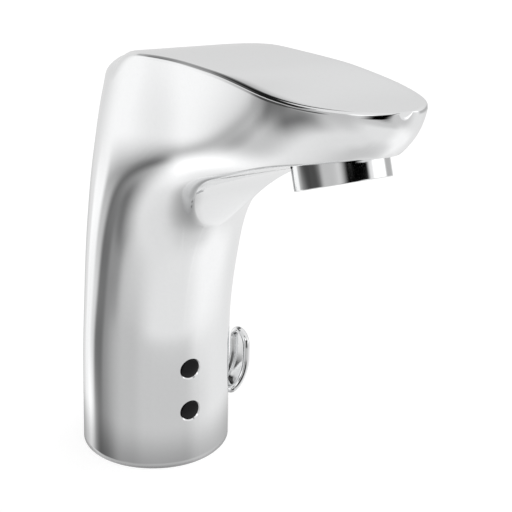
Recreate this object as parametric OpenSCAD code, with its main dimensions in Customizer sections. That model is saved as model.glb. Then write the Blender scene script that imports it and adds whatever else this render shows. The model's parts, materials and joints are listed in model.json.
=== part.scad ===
// Deck-mounted sensor tap for a washbasin.
// The origin is the centre of the base on the deck, +Z is up, the spout points
// along -Y and the temperature lever sits on the +X side.

/* [Casting] */
// Diameter of the round base
base_d = 50; // [49:0.5:53]
// Height of the crown above the deck
body_h = 138; // [136:1:144]
// Distance from the column's axis to the spout's nose
spout_len = 117.6; // [116:0.2:119]
// Wall thickness of the casting
wall = 3; // [2.8:0.1:3.2]
// How far the top leaf dips from its highest point to the nose
crown_dip = 2; // [1.6:0.1:2.4]
// How far the top leaf falls from its highest point to the column's axis
crown_fall = 7.2; // [6.6:0.1:7.8]
// Radius of the hollow where the column turns into the spout's underside
scoop_r = 45; // [43:1:47]
// Straight run of the underside behind the outlet's axis
scoop_run = 35; // [33:1:37]
// Rounding along the rim of the top leaf
rim_r = 1.3; // [0.8:0.1:1.6]
// Rounding of the leaf's rim where it fades out at the back of the crown
rim_soft_r = 11; // [9:0.5:12]
// Rounding along the lower edge of the spout
low_rim_r = 0.7; // [0.4:0.1:1]
// Rounding of the crown's back corner
nape_r = 11; // [9:1:13]

/* [Outlet] */
// Distance from the column's axis to the centre of the outlet's rim
outlet_reach = 97.5; // [96:0.5:99]
// Drop from the crown to the centre of the outlet's rim
outlet_drop = 23; // [22:0.5:24]
// Angle between the jet and the vertical
outlet_tilt = 20.4; // [18:0.2:22]
// Outer diameter of the aerator sleeve
sleeve_d = 23.3; // [22.8:0.1:24]
// Length of sleeve that shows below the spout
sleeve_drop = 6.5; // [6:0.1:7]
// Diameter of the threaded bore that takes the sleeve
outlet_bore_d = 21; // [20.6:0.1:21.4]
// Depth of the threaded bore
outlet_bore_depth = 8; // [7:0.5:8.5]
// Wall of the sleeve below its thread
sleeve_wall = 1.4; // [1.2:0.1:1.6]

/* [Inlets and fixing] */
// Wall diameter of the deck stud's thread
stud_thread_d = 6.8; // [6.6:0.1:7]
// Depth of the deck stud's thread
stud_thread_depth = 12; // [10:0.5:13]
// Wall diameter of the hose threads
hose_thread_d = 7; // [6.8:0.1:7.2]
// Depth of the hose threads
hose_thread_depth = 8; // [7:0.5:8.5]
// Distance between the two hoses
hose_spacing = 17; // [16.5:0.1:17.5]
// Distance of the hoses behind the axis
hose_back = 9.5; // [9.2:0.1:9.8]

/* [Lever] */
// Height of the lever's axis
lever_h = 10.8; // [10.6:0.1:11]
// Distance of the lever's axis in front of the column's axis
lever_front = 1; // [0.8:0.1:1.2]
// Height of the lever's tip above its axis
lever_rise = 21.4; // [19:0.2:23]
// Distance from the base's side to the paddle's outer face
paddle_stand = 9.6; // [9.2:0.1:11]
// Width of the paddle
paddle_w = 8.6; // [7.6:0.2:9.4]
// Thickness of the paddle
paddle_t = 2.4; // [2.2:0.1:2.8]
// Diameter of the lever's neck
neck_d = 5.6; // [5.4:0.1:5.8]
// Diameter of the spindle
spindle_d = 3.2; // [3.1:0.1:3.3]

/* [Sensor] */
// Diameter of each eye's window
eye_d = 6.5; // [6.2:0.1:6.8]
// Height of the lower eye
lower_eye_h = 19.4; // [19:0.2:20]
// Distance between the eyes
eye_pitch = 15; // [14.6:0.2:15.4]
// How far the lenses sit behind the casting's face
eye_recess = 0.7; // [0.5:0.1:0.9]

/* [Valve] */
// Height of the mixing block over its cross drillings
drill_cover = 5.8; // [5.6:0.1:6]
// Diameter of the solenoid coil
coil_d = 15.6; // [15:0.2:16]
// Height of the solenoid coil
coil_h = 16; // [15:0.2:16.4]
// Stroke of the plunger
plunger_stroke = 1.6; // [1.4:0.1:1.8]
// Stroke of the check valves
check_stroke = 1.5; // [1.2:0.1:1.7]
// Outer diameter of the water tube
tube_d = 6; // [5.6:0.1:6.2]
// Wall of the water tube
tube_wall = 0.9; // [0.8:0.1:1]
// Distance of the upright tube behind the axis
tube_back = 10.6; // [10.4:0.1:10.8]

/* [Battery] */
// Diameter of each battery cell
cell_d = 16.8; // [16:0.2:17]

/* [Hidden] */

// Fineness of round solids and of small rounded forms
round_fn = 48;
blend_fn = 20;
// Overrun of a cut past the face that it opens
over = 1;
// Clearances: of seats, of sliding pieces and of running shafts
seat_gap = 0.3;
slide_gap = 0.1;
run_gap = 0.06;

base_r = base_d / 2;
eye_r = eye_d / 2;
outlet_h = body_h - outlet_drop;
sleeve_r = sleeve_d / 2;
outlet_bore_r = outlet_bore_d / 2;
spindle_r = spindle_d / 2;
tube_r = tube_d / 2;

// Stations of the casting from the base up. Height is a share of body_h.
// The back line, the widest line and the half width are shares of the base radius.
side_shares = [
  [0, 1, 0, 1],
  [0.217, 0.924, -0.02, 0.988],
  [0.435, 0.862, -0.156, 0.965],
  [0.652, 0.736, -0.5, 0.964],
  [0.833, 0.616, -1.05, 0.942],
  [0.942, 0.462, -1.42, 0.905],
  [1.02, 0.4, -1.65, 0.95]
];
// The front line is a share of the way from the base to the nose. The line where
// the front starts to round in is a share of the spout's length.
front_shares = [
  [0, 0, 0], [0.217, -0.005, 0.007], [0.326, 0, 0.014],
  [0.435, 0.023, 0.038], [0.507, 0.049, 0.058], [0.58, 0.09, 0.077],
  [0.638, 0.148, 0.101], [0.688, 0.231, 0.128], [0.725, 0.313, 0.168],
  [0.761, 0.447, 0.231], [0.797, 0.626, 0.315], [0.833, 0.793, 0.429],
  [0.87, 0.89, 0.529], [0.906, 0.945, 0.595], [0.942, 0.999, 0.706],
  [1.02, 1, 0.765]
];
// The spout is slimmer than the column by this share
neck_share = 0.16;
// Where the slimming starts and how far it runs, as shares of the spout's length
neck_start_share = 0.128;
neck_run_share = 0.34;
// Highest point of the crown, as a share of the spout's length
crown_peak_share = 0.576;
// Length over which the crown dips to the front, as a share of the spout's length
crown_front_share = 0.326;
// How late the crown falls to the back, as the power of its curve
crown_power = 2.83;
// The underside past the outlet is flatter: its slope as a share of the slope behind
// the outlet, and where the change starts and how far it runs
lip_share = 0.72;
lip_start = 7.2;
lip_run = 12;
// Height of the fan of sections over the centre of the hollow, as a share of its radius
fan_rise_share = 0.25;
// Length over which the rim's rounding grows to the back, as a share of the spout's length
rim_fade_share = 0.314;
rim_fade = rim_fade_share * spout_len;
// Last ring of the nose, as a share of a right angle
nose_end_share = 0.93;

// Rings of the casting: column, fan, straight spout and nose
column_rings = 10;
fan_rings = 17;
spout_rings = 5;
nose_rings = 7;
side_steps = 13;
core_side_steps = 8;

// A smooth curve through a table, with no overshoot between its points
function place(t, x, i = 0) =
  (i >= len(t) - 2 || x < t[i + 1][0]) ? i : place(t, x, i + 1);
function secant(t, i, c) = (t[i + 1][c] - t[i][c]) / (t[i + 1][0] - t[i][0]);
function mean_slope(h0, h1, s0, s1) =
  s0 * s1 <= 0 ? 0 : 3 * (h0 + h1) / ((2 * h1 + h0) / s0 + (h1 + 2 * h0) / s1);
function slope(t, i, c) =
  i == 0 ? secant(t, 0, c)
  : i == len(t) - 1 ? secant(t, i - 1, c)
  : mean_slope(t[i][0] - t[i - 1][0], t[i + 1][0] - t[i][0], secant(t, i - 1, c), secant(t, i, c));
function curve(t, x, c) =
  let (
    i = place(t, x),
    h = t[i + 1][0] - t[i][0],
    u = max(0, min(1, (x - t[i][0]) / h)),
    v = 1 - u
  )
  t[i][c] * (1 + 2 * u) * v * v + t[i + 1][c] * (3 - 2 * u) * u * u
  + h * slope(t, i, c) * u * v * v - h * slope(t, i + 1, c) * u * u * v;
function ease(t) = let (u = max(0, min(1, t))) u * u * (3 - 2 * u);

// The lines of the casting at height z, as places along Y
function back_y(z) = curve(side_shares, z / body_h, 1) * base_r;
function wide_y(z) = curve(side_shares, z / body_h, 2) * base_r;
function half_w(z) = curve(side_shares, z / body_h, 3) * base_r;
function front_y(z) = -base_r - curve(front_shares, z / body_h, 1) * (spout_len - base_r);
function full_y(z) = -curve(front_shares, z / body_h, 2) * spout_len;

// Half width of the casting at the place [y, z] of its side view
function end_round(y, from, to) = let (u = (y - from) / (to - from)) sqrt(max(0, 1 - u * u));
function neck(y) = 1 - neck_share * ease((-y / spout_len - neck_start_share) / neck_run_share);
function width(p) =
  let (y = p[0], z = p[1])
  half_w(z) * neck(y) * (
    y > wide_y(z) ? end_round(y, wide_y(z), back_y(z))
    : y < full_y(z) ? end_round(y, full_y(z), front_y(z))
    : 1);

// The line along the middle of the top leaf
crown_y = -crown_peak_share * spout_len;
crown_front = crown_front_share * spout_len;
function crown_z(y) =
  y < crown_y ? body_h - crown_dip * ease((crown_y - y) / crown_front)
  : body_h - crown_fall * pow(1 - y / crown_y, crown_power);

// The outlet's axis, pointing up into the spout, in the side view
outlet_up = [sin(outlet_tilt), cos(outlet_tilt)];
outlet_back = [cos(outlet_tilt), -sin(outlet_tilt)];
outlet_rim = [-outlet_reach, outlet_h];
outlet_face = outlet_rim + outlet_up * sleeve_drop;
// The hollow under the spout: a straight run that turns down into the column
scoop_turn = outlet_face + outlet_back * scoop_run;
scoop_centre = scoop_turn - outlet_up * scoop_r;
function turned(t, run) = t < 0 ? 0 : t > run ? t - run / 2 : t * t / run / 2;
function under_z(y) =
  let (
    along = outlet_face[0] - y,
    past = turned(along + lip_start + lip_run / 2, lip_run)
  )
  outlet_face[1] + (along - (1 - lip_share) * past) * tan(outlet_tilt);
// Height above the hollow's centre at which the sections start to fan out
fan_foot = [scoop_turn[0], scoop_centre[1] + fan_rise_share * scoop_r];

// Distances along a ray from the fan's foot at the angle a
function ray(a, d) = fan_foot + [cos(a), sin(a)] * d;
function to_back(a, d = 0, n = 8) =
  n == 0 ? d : to_back(a, (back_y(ray(a, d)[1]) - fan_foot[0]) / cos(a), n - 1);
function to_crown(a, d = 0, n = 16) =
  n == 0 ? d : to_crown(a, (d + (crown_z(ray(a, d)[0]) - fan_foot[1]) / sin(a)) / 2, n - 1);
function to_front(a, d = 0, n = 12) =
  n == 0 ? d : to_front(a, (front_y(ray(a, d)[1]) - fan_foot[0]) / cos(a), n - 1);
function to_scoop(a) =
  let (
    g = fan_foot - scoop_centre,
    b = g[0] * cos(a) + g[1] * sin(a)
  )
  sqrt(b * b - g * g + scoop_r * scoop_r) - b;
function soft_min(a, b, k) = let (h = max(k - abs(a - b), 0) / k) min(a, b) - h * h * k / 4;
function fan_outer(a) =
  a < 24 ? ray(a, to_back(a))
  : a > 76 ? ray(a, to_crown(a))
  : ray(a, soft_min(to_back(a), to_crown(a), nape_r));
function fan_inner(a) = ray(a, a > 45 ? to_scoop(a) : max(to_scoop(a), to_front(a)));

// The nose: the lowest height at which the front line reaches y
function keel_z(y, low, high, n = 14) =
  let (m = (low + high) / 2)
  n == 0 ? m : front_y(m) > y ? keel_z(y, m, high, n - 1) : keel_z(y, low, m, n - 1);
nose_y = full_y(crown_z(-spout_len));
tip_y = front_y(crown_z(-spout_len));
function nose_low(y) = max(under_z(y), keel_z(y, outlet_h, crown_z(y)));

// Each section of the casting runs from an outer place to an inner place
fan_steps = [for (k = [1:fan_rings]) 90 * k / (fan_rings + 1)];
column_sections = [
  for (k = [0:column_rings])
    let (z = fan_foot[1] * k / column_rings) [[back_y(z), z], [front_y(z), z]]
];
fan_sections = [for (a = fan_steps) [fan_outer(a), fan_inner(a)]];
spout_sections = [
  for (k = [0:spout_rings])
    let (y = scoop_turn[0] + (nose_y - scoop_turn[0]) * k / spout_rings)
    [[y, crown_z(y)], [y, under_z(y)]]
];
nose_sections = [
  for (k = [1:nose_rings])
    let (y = nose_y + (tip_y - nose_y) * sin(90 * nose_end_share * k / nose_rings))
    [[y, crown_z(y)], [y, nose_low(y)]]
];

// How much of a rounded edge of radius r is bitten away at the depth d
function bite(d, r) = d < r ? r - sqrt(max(0, r * r - (r - d) * (r - d))) : 0;
function mid(s, t) = s[0] + (s[1] - s[0]) * t;

// One half of a section, from its outer centre over the rim and down the side
// to its inner centre, as [x, y, z]. Steps bunch together at both ends.
function half_ring(s, steps) =
  let (
    len_s = norm(s[1] - s[0]),
    first = (1 - cos(180 / steps)) / 2,
    flat_top = width(s[0]) / max(width(mid(s, first)), run_gap),
    flat_low = width(s[1]) / max(width(mid(s, 1 - first)), run_gap),
    t_top = first * (1 - min(1, flat_top)),
    t_low = 1 - first * (1 - min(1, flat_low)),
    soft = rim_r + (rim_soft_r - rim_r) * ease(1 + s[0][0] / rim_fade),
    r_top = min(soft, width(s[0]) / 2, len_s / 4) * min(1, flat_top),
    r_low = min(low_rim_r * min(1, flat_low * flat_low), width(s[1]) / 3, len_s / 4),
    ts = [for (k = [0:steps]) t_top + (t_low - t_top) * (1 - cos(180 * k / steps)) / 2],
    xs = [
      for (t = ts)
        max(width(mid(s, t)) - bite(t * len_s, r_top) - bite((1 - t) * len_s, r_low), run_gap)
    ],
    tops = [for (j = [0:2]) let (u = j / 3) [xs[0] * u, mid(s, t_top * u * u)]],
    lows = [for (j = [1:-1:0]) let (u = j / 2) [xs[steps] * u, mid(s, 1 - (1 - t_low) * u * u)]]
  )
  concat(
    [for (p = tops) [p[0], p[1][0], p[1][1]]],
    [for (k = [0:steps]) let (q = mid(s, ts[k])) [xs[k], q[0], q[1]]],
    [for (p = lows) [p[0], p[1][0], p[1][1]]]
  );
function full_ring(h) = concat(h, [for (k = [len(h) - 2:-1:1]) [-h[k][0], h[k][1], h[k][2]]]);

// The casting's hollow: each section drawn in by the wall
function drawn_in(h, s) =
  let (
    len_s = norm(s[1] - s[0]),
    c = mid(s, 0.5),
    along = (len_s - 2 * wall) / len_s,
    most = max([for (p = h) p[0]]),
    across = (most - wall) / most
  )
  [for (p = h) [p[0] * across, c[0] + (p[1] - c[0]) * along, c[1] + (p[2] - c[1]) * along]];

// Faces between rings of n points that follow each other from ring a to ring b
function skin(n, a, b) = [
  for (r = [a:b - 1], k = [0:n - 1])
    let (
      p = r * n + k, q = r * n + (k + 1) % n, p2 = p + n, q2 = q + n
    )
    each [[p, q, q2], [p, q2, p2]]
];

skin_rings = [
  for (s = concat(column_sections, fan_sections, spout_sections, nose_sections))
    full_ring(half_ring(s, side_steps))
];
// The hollow ends before the outlet's bore
core_end_y = outlet_face[0] + outlet_bore_r + 3 * wall;
core_stations = concat(
  [for (k = [0:2:column_rings]) column_sections[k]],
  [for (k = [1:2:fan_rings - 1]) fan_sections[k]],
  [for (s = spout_sections) if (s[0][0] > core_end_y) s],
  [[[core_end_y, crown_z(core_end_y)], [core_end_y, under_z(core_end_y)]]]
);
core_rings = [
  for (s = core_stations) full_ring(drawn_in(half_ring(s, core_side_steps), s))
];

// A closed form through rings of points, with each end filled from its middle
function middle(r) = [for (c = [0:2]) let (v = [for (p = r) p[c]]) (max(v) + min(v)) / 2];
module loft(rings) {
  n = len(rings[0]);
  m = len(rings);
  polyhedron(
    points = concat([for (r = rings) each r], [middle(rings[0]), middle(rings[m - 1])]),
    faces = concat(
      skin(n, 0, m - 1),
      [for (k = [0:n - 1]) [n * m, (k + 1) % n, k]],
      [for (k = [0:n - 1]) [n * m + 1, n * (m - 1) + k, n * (m - 1) + (k + 1) % n]]
    )
  );
}

// A round bar along +Z, along +X, or along the jet from a height above the rim
module bar(r, z0, z1, fn = round_fn) {
  translate([0, 0, z0]) cylinder(r = r, h = z1 - z0, $fn = fn);
}
module bar_x(r, x0, x1, fn = round_fn) {
  translate([x0, 0, 0]) rotate([0, 90, 0]) cylinder(r = r, h = x1 - x0, $fn = fn);
}
module ring(r_out, r_in, z0, z1, fn = round_fn) {
  difference() {
    bar(r_out, z0, z1, fn);
    bar(r_in, z0 - over, z1 + over, fn);
  }
}
module o_ring(r, cord, z) {
  translate([0, 0, z]) rotate_extrude($fn = round_fn) translate([r, 0]) circle(r = cord, $fn = blend_fn);
}
module at_outlet() {
  translate([0, outlet_rim[0], outlet_rim[1]]) rotate([-outlet_tilt, 0, 0]) children();
}
module at_lever() {
  translate([0, -lever_front, lever_h]) children();
}

// Foot of the casting: gasket groove, screw bosses and screws
groove_w = 1.2;
groove_in_r = base_r - wall / 2 - groove_w / 2;
foot_h = 6;
// Screw bosses of the casting
boss_r = 2.9;
boss_reach = 18.4;
boss_angles = [90, 225, 315];
boss_h = 10;
screw_r = 1.4;
screw_head_r = 2.5;
screw_head_h = 2;
screw_sink = 2.5;
key_r = 1;
// Mixing block
block_foot_r = 21.2;
block_r = 19.4;
stud_r = stud_thread_d / 2;
hose_r = hose_thread_d / 2;
hose_x = hose_spacing / 2;
filter_h = 0.7;
filter_pitch = 1.3;
filter_hole_r = 0.5;
// Room of a return spring, as a share of the stroke that it returns
spring_room_share = 3.2;
// Step in from the hose thread to the check valve's bore
check_step = 0.6;
check_bore_r = hose_r - check_step;
drill_r = 1.2;
check_foot = hose_thread_depth + filter_h + run_gap;
check_seat_t = 1.3;
check_seat = check_foot + check_seat_t;
poppet_r = 1.8;
poppet_t = 1;
check_spring_foot = check_seat + poppet_t + run_gap;
check_roof = check_spring_foot + spring_room_share * check_stroke + run_gap;
check_wall = 0.72;
check_mouth_r = 1.2;
check_stem_r = 0.6;
check_spring_r = 1.3;
check_vents = 6;
check_vent_r = 0.35;
// The stem opens into the cross drilling, and the block ends above it
check_top = check_roof + check_wall + 2 * check_stroke + seat_gap;
drill_h = check_top - check_step - drill_r;
block_h = drill_h + drill_cover;
drill_y = 1.8;
hot_x = 11.4;
cold_x = 7.8;
port_r = 1.4;
// Mixing cartridge, with places along X from the column's axis
cartridge_r = 5.4;
cartridge_in = 4.9;
cartridge_wall = 1.3;
spool_r = 4;
spool_end = 16.6;
nut_in = 17.7;
shaft_end = 19.3;
tang_w = 2.2;
tang_in = 15;
bush_r = neck_d / 2;
bush_flange_r = 4;
bush_in = 20;
bush_flange_w = 1;
neck_in = base_r + seat_gap;
// Valve: centre line behind the axis, half sizes and heights
valve_y = -2.2;
valve_half_x = 13.2;
valve_half_y = 9.1;
gasket_h = 0.8;
valve_floor_h = 4;
chamber_h = 5;
chamber_z = block_h + valve_floor_h;
rim_z = chamber_z + chamber_h;
diaphragm_r = 7.8;
diaphragm_t = 1.2;
diaphragm_rim_w = 0.8;
diaphragm_sink = 1.5;
cover_z = rim_z + diaphragm_t;
cover_t = 2;
pipe_r = 2.1;
port_x = 6.8;
boss_pipe_r = 4;
pipe_boss_r = 4.3;
tube_foot_h = 7;
tube_hold = 5;
tube_foot = chamber_z + tube_foot_h;
pipe_boss_top = tube_foot + tube_hold;
valve_screw_x = 11;
valve_screw_y = 7;
valve_screw_r = 1.2;
valve_screw_grip = 3;
valve_screw_foot = block_h - valve_screw_grip;
plunger_r = 2.9;
plunger_h = 10;
core_r = 3.6;
core_stub = 0.4;
frame_half_x = 9.2;
frame_half_y = 5;
frame_t = 1;
coil_foot = cover_z + cover_t + slide_gap;
frame_top = coil_foot + coil_h + seat_gap + frame_t;
core_top = frame_top + core_stub;
// Sensor: half width, places along Y and heights
sensor_half_x = 5.4;
sensor_front = -20.4;
sensor_back = -12;
sensor_foot = 12;
sensor_over = 6.6;
sensor_top = lower_eye_h + eye_pitch + sensor_over;
sensor_wall = 1;
lens_r = eye_r - slide_gap;
lens_back = 19.6;
led_r = 1.5;
led_rim_w = 0.4;
board_t = 1.4;
board_half_x = sensor_half_x - sensor_wall - slide_gap;
upper_eye_h = lower_eye_h + eye_pitch;
notch_y = sensor_back + seat_gap;
// Battery holder
cell_r = cell_d / 2;
cell_h_share = 0.25;
cell_h = cell_h_share * body_h;
cell_half_gap = 0.5;
cell_x = cell_r + cell_half_gap;
cell_y = -5;
holder_z = core_top + run_gap;
holder_t = 1.2;
cup_h = 18;
cell_z = holder_z + holder_t + run_gap;
cell_top = cell_z + cell_h;
post_r = 1.1;
post_y = 7.4;
strip_t = 0.4;
lid_z = cell_top + strip_t + 2 * run_gap;
// Water tube: its straight run rises towards the outlet and ends above and behind it
run_rise = 6.9;
socket_up = 16.96;
socket_back = 11.17;
socket_end = outlet_rim + outlet_up * socket_up + outlet_back * socket_back;
run_dir = [-cos(run_rise), sin(run_rise)];
bend_r = 16;
bend_centre_y = tube_back - bend_r;
bend_turn = 90 - run_rise;
bend_out_y = bend_centre_y + bend_r * cos(bend_turn);
run_len = (bend_out_y - socket_end[0]) / cos(run_rise);
bend_out_z = socket_end[1] - run_len * sin(run_rise);
bend_centre_z = bend_out_z - bend_r * sin(bend_turn);
socket_depth = 4.6;
seal_cord = 0.6;
seal_r = tube_r + seal_cord + run_gap;
seal_bore_r = seal_r + seal_cord + run_gap;
seal_depth = 1.6;
// Outlet
thread_top = sleeve_drop + outlet_bore_depth;
mouth_r = 7;
mouth_h = 2;
sleeve_bore_r = sleeve_r - sleeve_wall - over;
sleeve_lip = 1.2;
seal_h = 2.2;
sleeve_top = thread_top - seal_h;
insert_r = sleeve_bore_r - run_gap;
mesh_pitch = 1.7;
mesh_w = 0.5;
mesh_h = 1.2;

// Springs of round wire: outer radius of the coil's centre line and the wire
wire_r = 0.22;
spring_turns = 5;
spring_steps = 14;
wire_steps = 6;
module spring(r, z0, z1, wire = wire_r) {
  n = spring_turns * spring_steps;
  z_in = z0 + wire;
  rise = z1 - z0 - 2 * wire;
  loft([
    for (k = [0:n])
      let (a = 360 * k / spring_steps)
      [
        for (j = [0:wire_steps - 1])
          let (b = -360 * j / wire_steps, q = r + wire * cos(b))
          [q * cos(a), q * sin(a), z_in + rise * k / n + wire * sin(b)]
      ]
  ]);
}
module bosses() {
  for (a = boss_angles) rotate([0, 0, a]) translate([boss_reach, 0, 0]) children();
}
module boss_form(gap, z0, z1) {
  bosses() {
    bar(boss_r + gap, z0, z1);
    translate([0, -boss_r - gap, z0]) cube([wall + over, 2 * (boss_r + gap), z1 - z0]);
  }
}
module at_hose(side) {
  translate([side * hose_x, hose_back, 0]) children();
}
module at_valve() {
  translate([0, valve_y, 0]) children();
}
module valve_corners() {
  for (x = [-1, 1], y = [-1, 1])
    translate([x * valve_screw_x, valve_y + y * valve_screw_y, 0]) children();
}
module at_eye(z) {
  translate([0, 0, z]) rotate([90, 0, 0]) children();
}
module at_tube() {
  translate([0, tube_back, 0]) children();
}
// The straight run of the tube, with +Z along it and 0 at its lower end
module at_run() {
  translate([0, bend_out_y, bend_out_z]) rotate([90 - run_rise, 0, 0]) children();
}
// Drillings that carry the water from the hoses to the cartridge and the valve
module drilling(side, x) {
  run = [x - side * hose_x, drill_y - hose_back];
  at_hose(side) translate([0, 0, drill_h]) rotate([0, 0, atan2(run[1], run[0])])
    bar_x(drill_r, 0, norm(run));
  translate([x, drill_y, 0]) bar(port_r, lever_h, drill_h + drill_r / 2);
}
module drillings() {
  drilling(1, hot_x);
  drilling(-1, cold_x);
  translate([port_x, valve_y, 0]) bar(port_r, lever_h, chamber_z + over);
}

module body_casting() {
  color("gainsboro") difference() {
    union() {
      difference() {
        loft(skin_rings);
        loft(concat([[for (p = core_rings[0]) [p[0], p[1], -over]]], core_rings));
      }
      boss_form(0, foot_h + slide_gap, foot_h + boss_h);
    }
    ring(groove_in_r + groove_w, groove_in_r, -over, groove_w);
    at_outlet() bar(outlet_bore_r, -over, thread_top);
    at_outlet() bar(sleeve_r + slide_gap, -over, sleeve_drop + slide_gap);
    at_outlet() bar(mouth_r, -over, thread_top + mouth_h);
    at_run() bar(tube_r + run_gap, run_len - socket_depth - bend_r, run_len);
    at_run() bar(seal_bore_r, run_len - socket_depth - bend_r, run_len - socket_depth + seal_depth);
    at_run() bar(tube_r - tube_wall, 0, run_len + mouth_r);
    bosses() bar(screw_r, foot_h, foot_h + boss_h - over);
    at_eye(lower_eye_h) bar(eye_r, base_r / 2, base_r + over);
    at_eye(upper_eye_h) bar(eye_r, base_r / 2, base_r + over);
    at_lever() bar_x(bush_r + run_gap, base_r / 2, base_r + over);
  }
}
module base_gasket() {
  color("dimgray") o_ring(groove_in_r + groove_w / 2, groove_w / 2 - run_gap, groove_w / 2 - run_gap);
}
module body_screws() {
  color("silver") bosses() difference() {
    union() {
      bar(screw_head_r, screw_sink - screw_head_h, screw_sink);
      bar(screw_r - run_gap, screw_sink, foot_h + boss_h - 2 * over);
    }
    bar(key_r, 0, screw_sink - screw_head_h + key_r, 6);
  }
}
module mixing_block() {
  color("goldenrod") difference() {
    union() {
      bar(block_foot_r, 0, foot_h);
      difference() {
        bar(block_r, over, block_h);
        boss_form(seat_gap, 0, block_h + over);
      }
    }
    bosses() bar(screw_r + slide_gap, -over, foot_h + over);
    bosses() bar(screw_head_r + slide_gap, -over, screw_sink + run_gap);
    bar(stud_r, -over, stud_thread_depth);
    for (side = [-1, 1]) at_hose(side) {
      bar(hose_r, -over, hose_thread_depth);
      bar(check_bore_r, -over, check_top);
    }
    drillings();
    at_lever() bar_x(cartridge_r, cartridge_in, base_r);
    valve_corners() bar(valve_screw_r, valve_screw_foot, block_h + over);
    translate([-sensor_half_x - slide_gap, -base_r, sensor_foot - run_gap])
      cube([2 * (sensor_half_x + slide_gap), base_r + notch_y, block_h]);
  }
}
module inlet_filters() {
  color("silver") for (side = [-1, 1]) at_hose(side) difference() {
    bar(check_bore_r - run_gap, hose_thread_depth + slide_gap, hose_thread_depth + filter_h);
    for (x = [-1, 0, 1], y = [-1, 0, 1]) translate([x * filter_pitch, y * filter_pitch, 0])
      bar(filter_hole_r, hose_thread_depth, hose_thread_depth + filter_h + over);
  }
}

// Check valves: housing, sprung poppet and spring
module check_housing(side) {
  color("ivory") at_hose(side) difference() {
    bar(check_bore_r - run_gap, check_foot, check_roof + check_wall);
    bar(check_bore_r - check_wall, check_seat, check_roof);
    bar(check_mouth_r, check_foot - over, check_seat + over);
    bar(check_stem_r + run_gap, check_roof - over, check_roof + over);
    for (k = [1:check_vents]) rotate([0, 0, 360 * k / check_vents]) translate([check_spring_r, 0, 0])
      bar(check_vent_r, check_roof - over, check_roof + over);
  }
}
module check_poppet(side) {
  color("darkslategray") at_hose(side) {
    bar(poppet_r, check_seat + run_gap, check_seat + poppet_t);
    bar(check_stem_r, check_seat + run_gap, check_roof + check_wall + seat_gap);
  }
}
module check_spring(side) {
  color("lightsteelblue") at_hose(side)
    spring(check_spring_r, check_spring_foot, check_roof - run_gap);
}
module hot_check_housing() {
  check_housing(1);
}
module hot_check_poppet() {
  check_poppet(1);
}
module hot_check_spring() {
  check_spring(1);
}
module cold_check_housing() {
  check_housing(-1);
}
module cold_check_poppet() {
  check_poppet(-1);
}
module cold_check_spring() {
  check_spring(-1);
}

// Mixing cartridge, its spool and the lever
module mixing_cartridge() {
  color("khaki") difference() {
    at_lever() bar_x(cartridge_r - run_gap, cartridge_in + slide_gap, nut_in - run_gap);
    at_lever() bar_x(spool_r, cartridge_in + cartridge_wall, nut_in + over);
    drillings();
  }
}
groove_inset = 3;
groove_x = spool_end - groove_inset;
module mixing_spool() {
  color("lightgray") at_lever() difference() {
    union() {
      bar_x(spool_r - run_gap, cartridge_in + cartridge_wall + slide_gap, spool_end);
      bar_x(neck_d / 2 - over, cartridge_in + cartridge_wall + slide_gap, shaft_end);
    }
    translate([cartridge_in, -spool_r, spool_r / 4]) cube([spool_r, 2 * spool_r, spool_r]);
    difference() {
      bar_x(spool_r + over, groove_x, groove_x + 3 * seal_cord);
      bar_x(spool_r - 2 * seal_cord - run_gap, groove_x - over, groove_x + base_r);
    }
    translate([tang_in, -tang_w / 2 - run_gap, -tang_w / 2 - run_gap])
      cube([base_r, tang_w + 2 * run_gap, tang_w + 2 * run_gap]);
  }
}
module spool_o_rings() {
  color("dimgray") at_lever() translate([groove_x + 1.5 * seal_cord, 0, 0]) rotate([0, 90, 0])
    o_ring(spool_r - seal_cord - run_gap / 2, seal_cord - run_gap / 2, 0);
}
module cartridge_nut() {
  color("darkgoldenrod") at_lever() difference() {
    bar_x(cartridge_r - run_gap, nut_in, shaft_end);
    bar_x(neck_d / 2 - over + slide_gap, nut_in - over, shaft_end + over);
    translate([shaft_end - over, -cartridge_r, -key_r / 2]) cube([2 * over, 2 * cartridge_r, key_r]);
  }
}
module wall_bush() {
  color("ivory") at_lever() difference() {
    union() {
      bar_x(bush_flange_r, bush_in, bush_in + bush_flange_w);
      bar_x(bush_r, bush_in, base_r - seat_gap);
    }
    bar_x(spindle_r + run_gap, bush_in - over, base_r + over);
  }
}
// The paddle: its side view is swept in at the foot, and its outline is a long round
paddle_reach = base_r + paddle_stand;
paddle_sweep_share = 0.54;
paddle_sweep = paddle_sweep_share * paddle_stand;
paddle_r = paddle_w / 2;
paddle_low = lever_h - neck_d / 2 - seat_gap;
paddle_top = lever_h + lever_rise;
sweep_h_share = 0.77;
sweep_h = sweep_h_share * (paddle_top - paddle_low);
paddle_steps = 12;
function swept_in(z) = let (u = max(0, 1 - (z - paddle_low) / sweep_h)) paddle_sweep * u * u;
function paddle_out(z) = [paddle_reach - swept_in(z), z];
function paddle_tilt(z) = atan2(2 * (swept_in(z) - swept_in(z + slide_gap)), 2 * slide_gap);
function paddle_in(z) = let (a = paddle_tilt(z))
  paddle_out(z) + paddle_t * [-cos(a), sin(a)];
paddle_zs = [
  for (k = [0:paddle_steps]) paddle_low - over + (paddle_top - paddle_low + 2 * over) * k / paddle_steps
];
spindle_end = paddle_reach - paddle_sweep - paddle_t;
// Flat for the grub screw, and the screw itself
flat_cut = 0.4;
grub_r = 0.9;
grub_inset = 1.4;
grub_x = neck_in + grub_inset;
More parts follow.
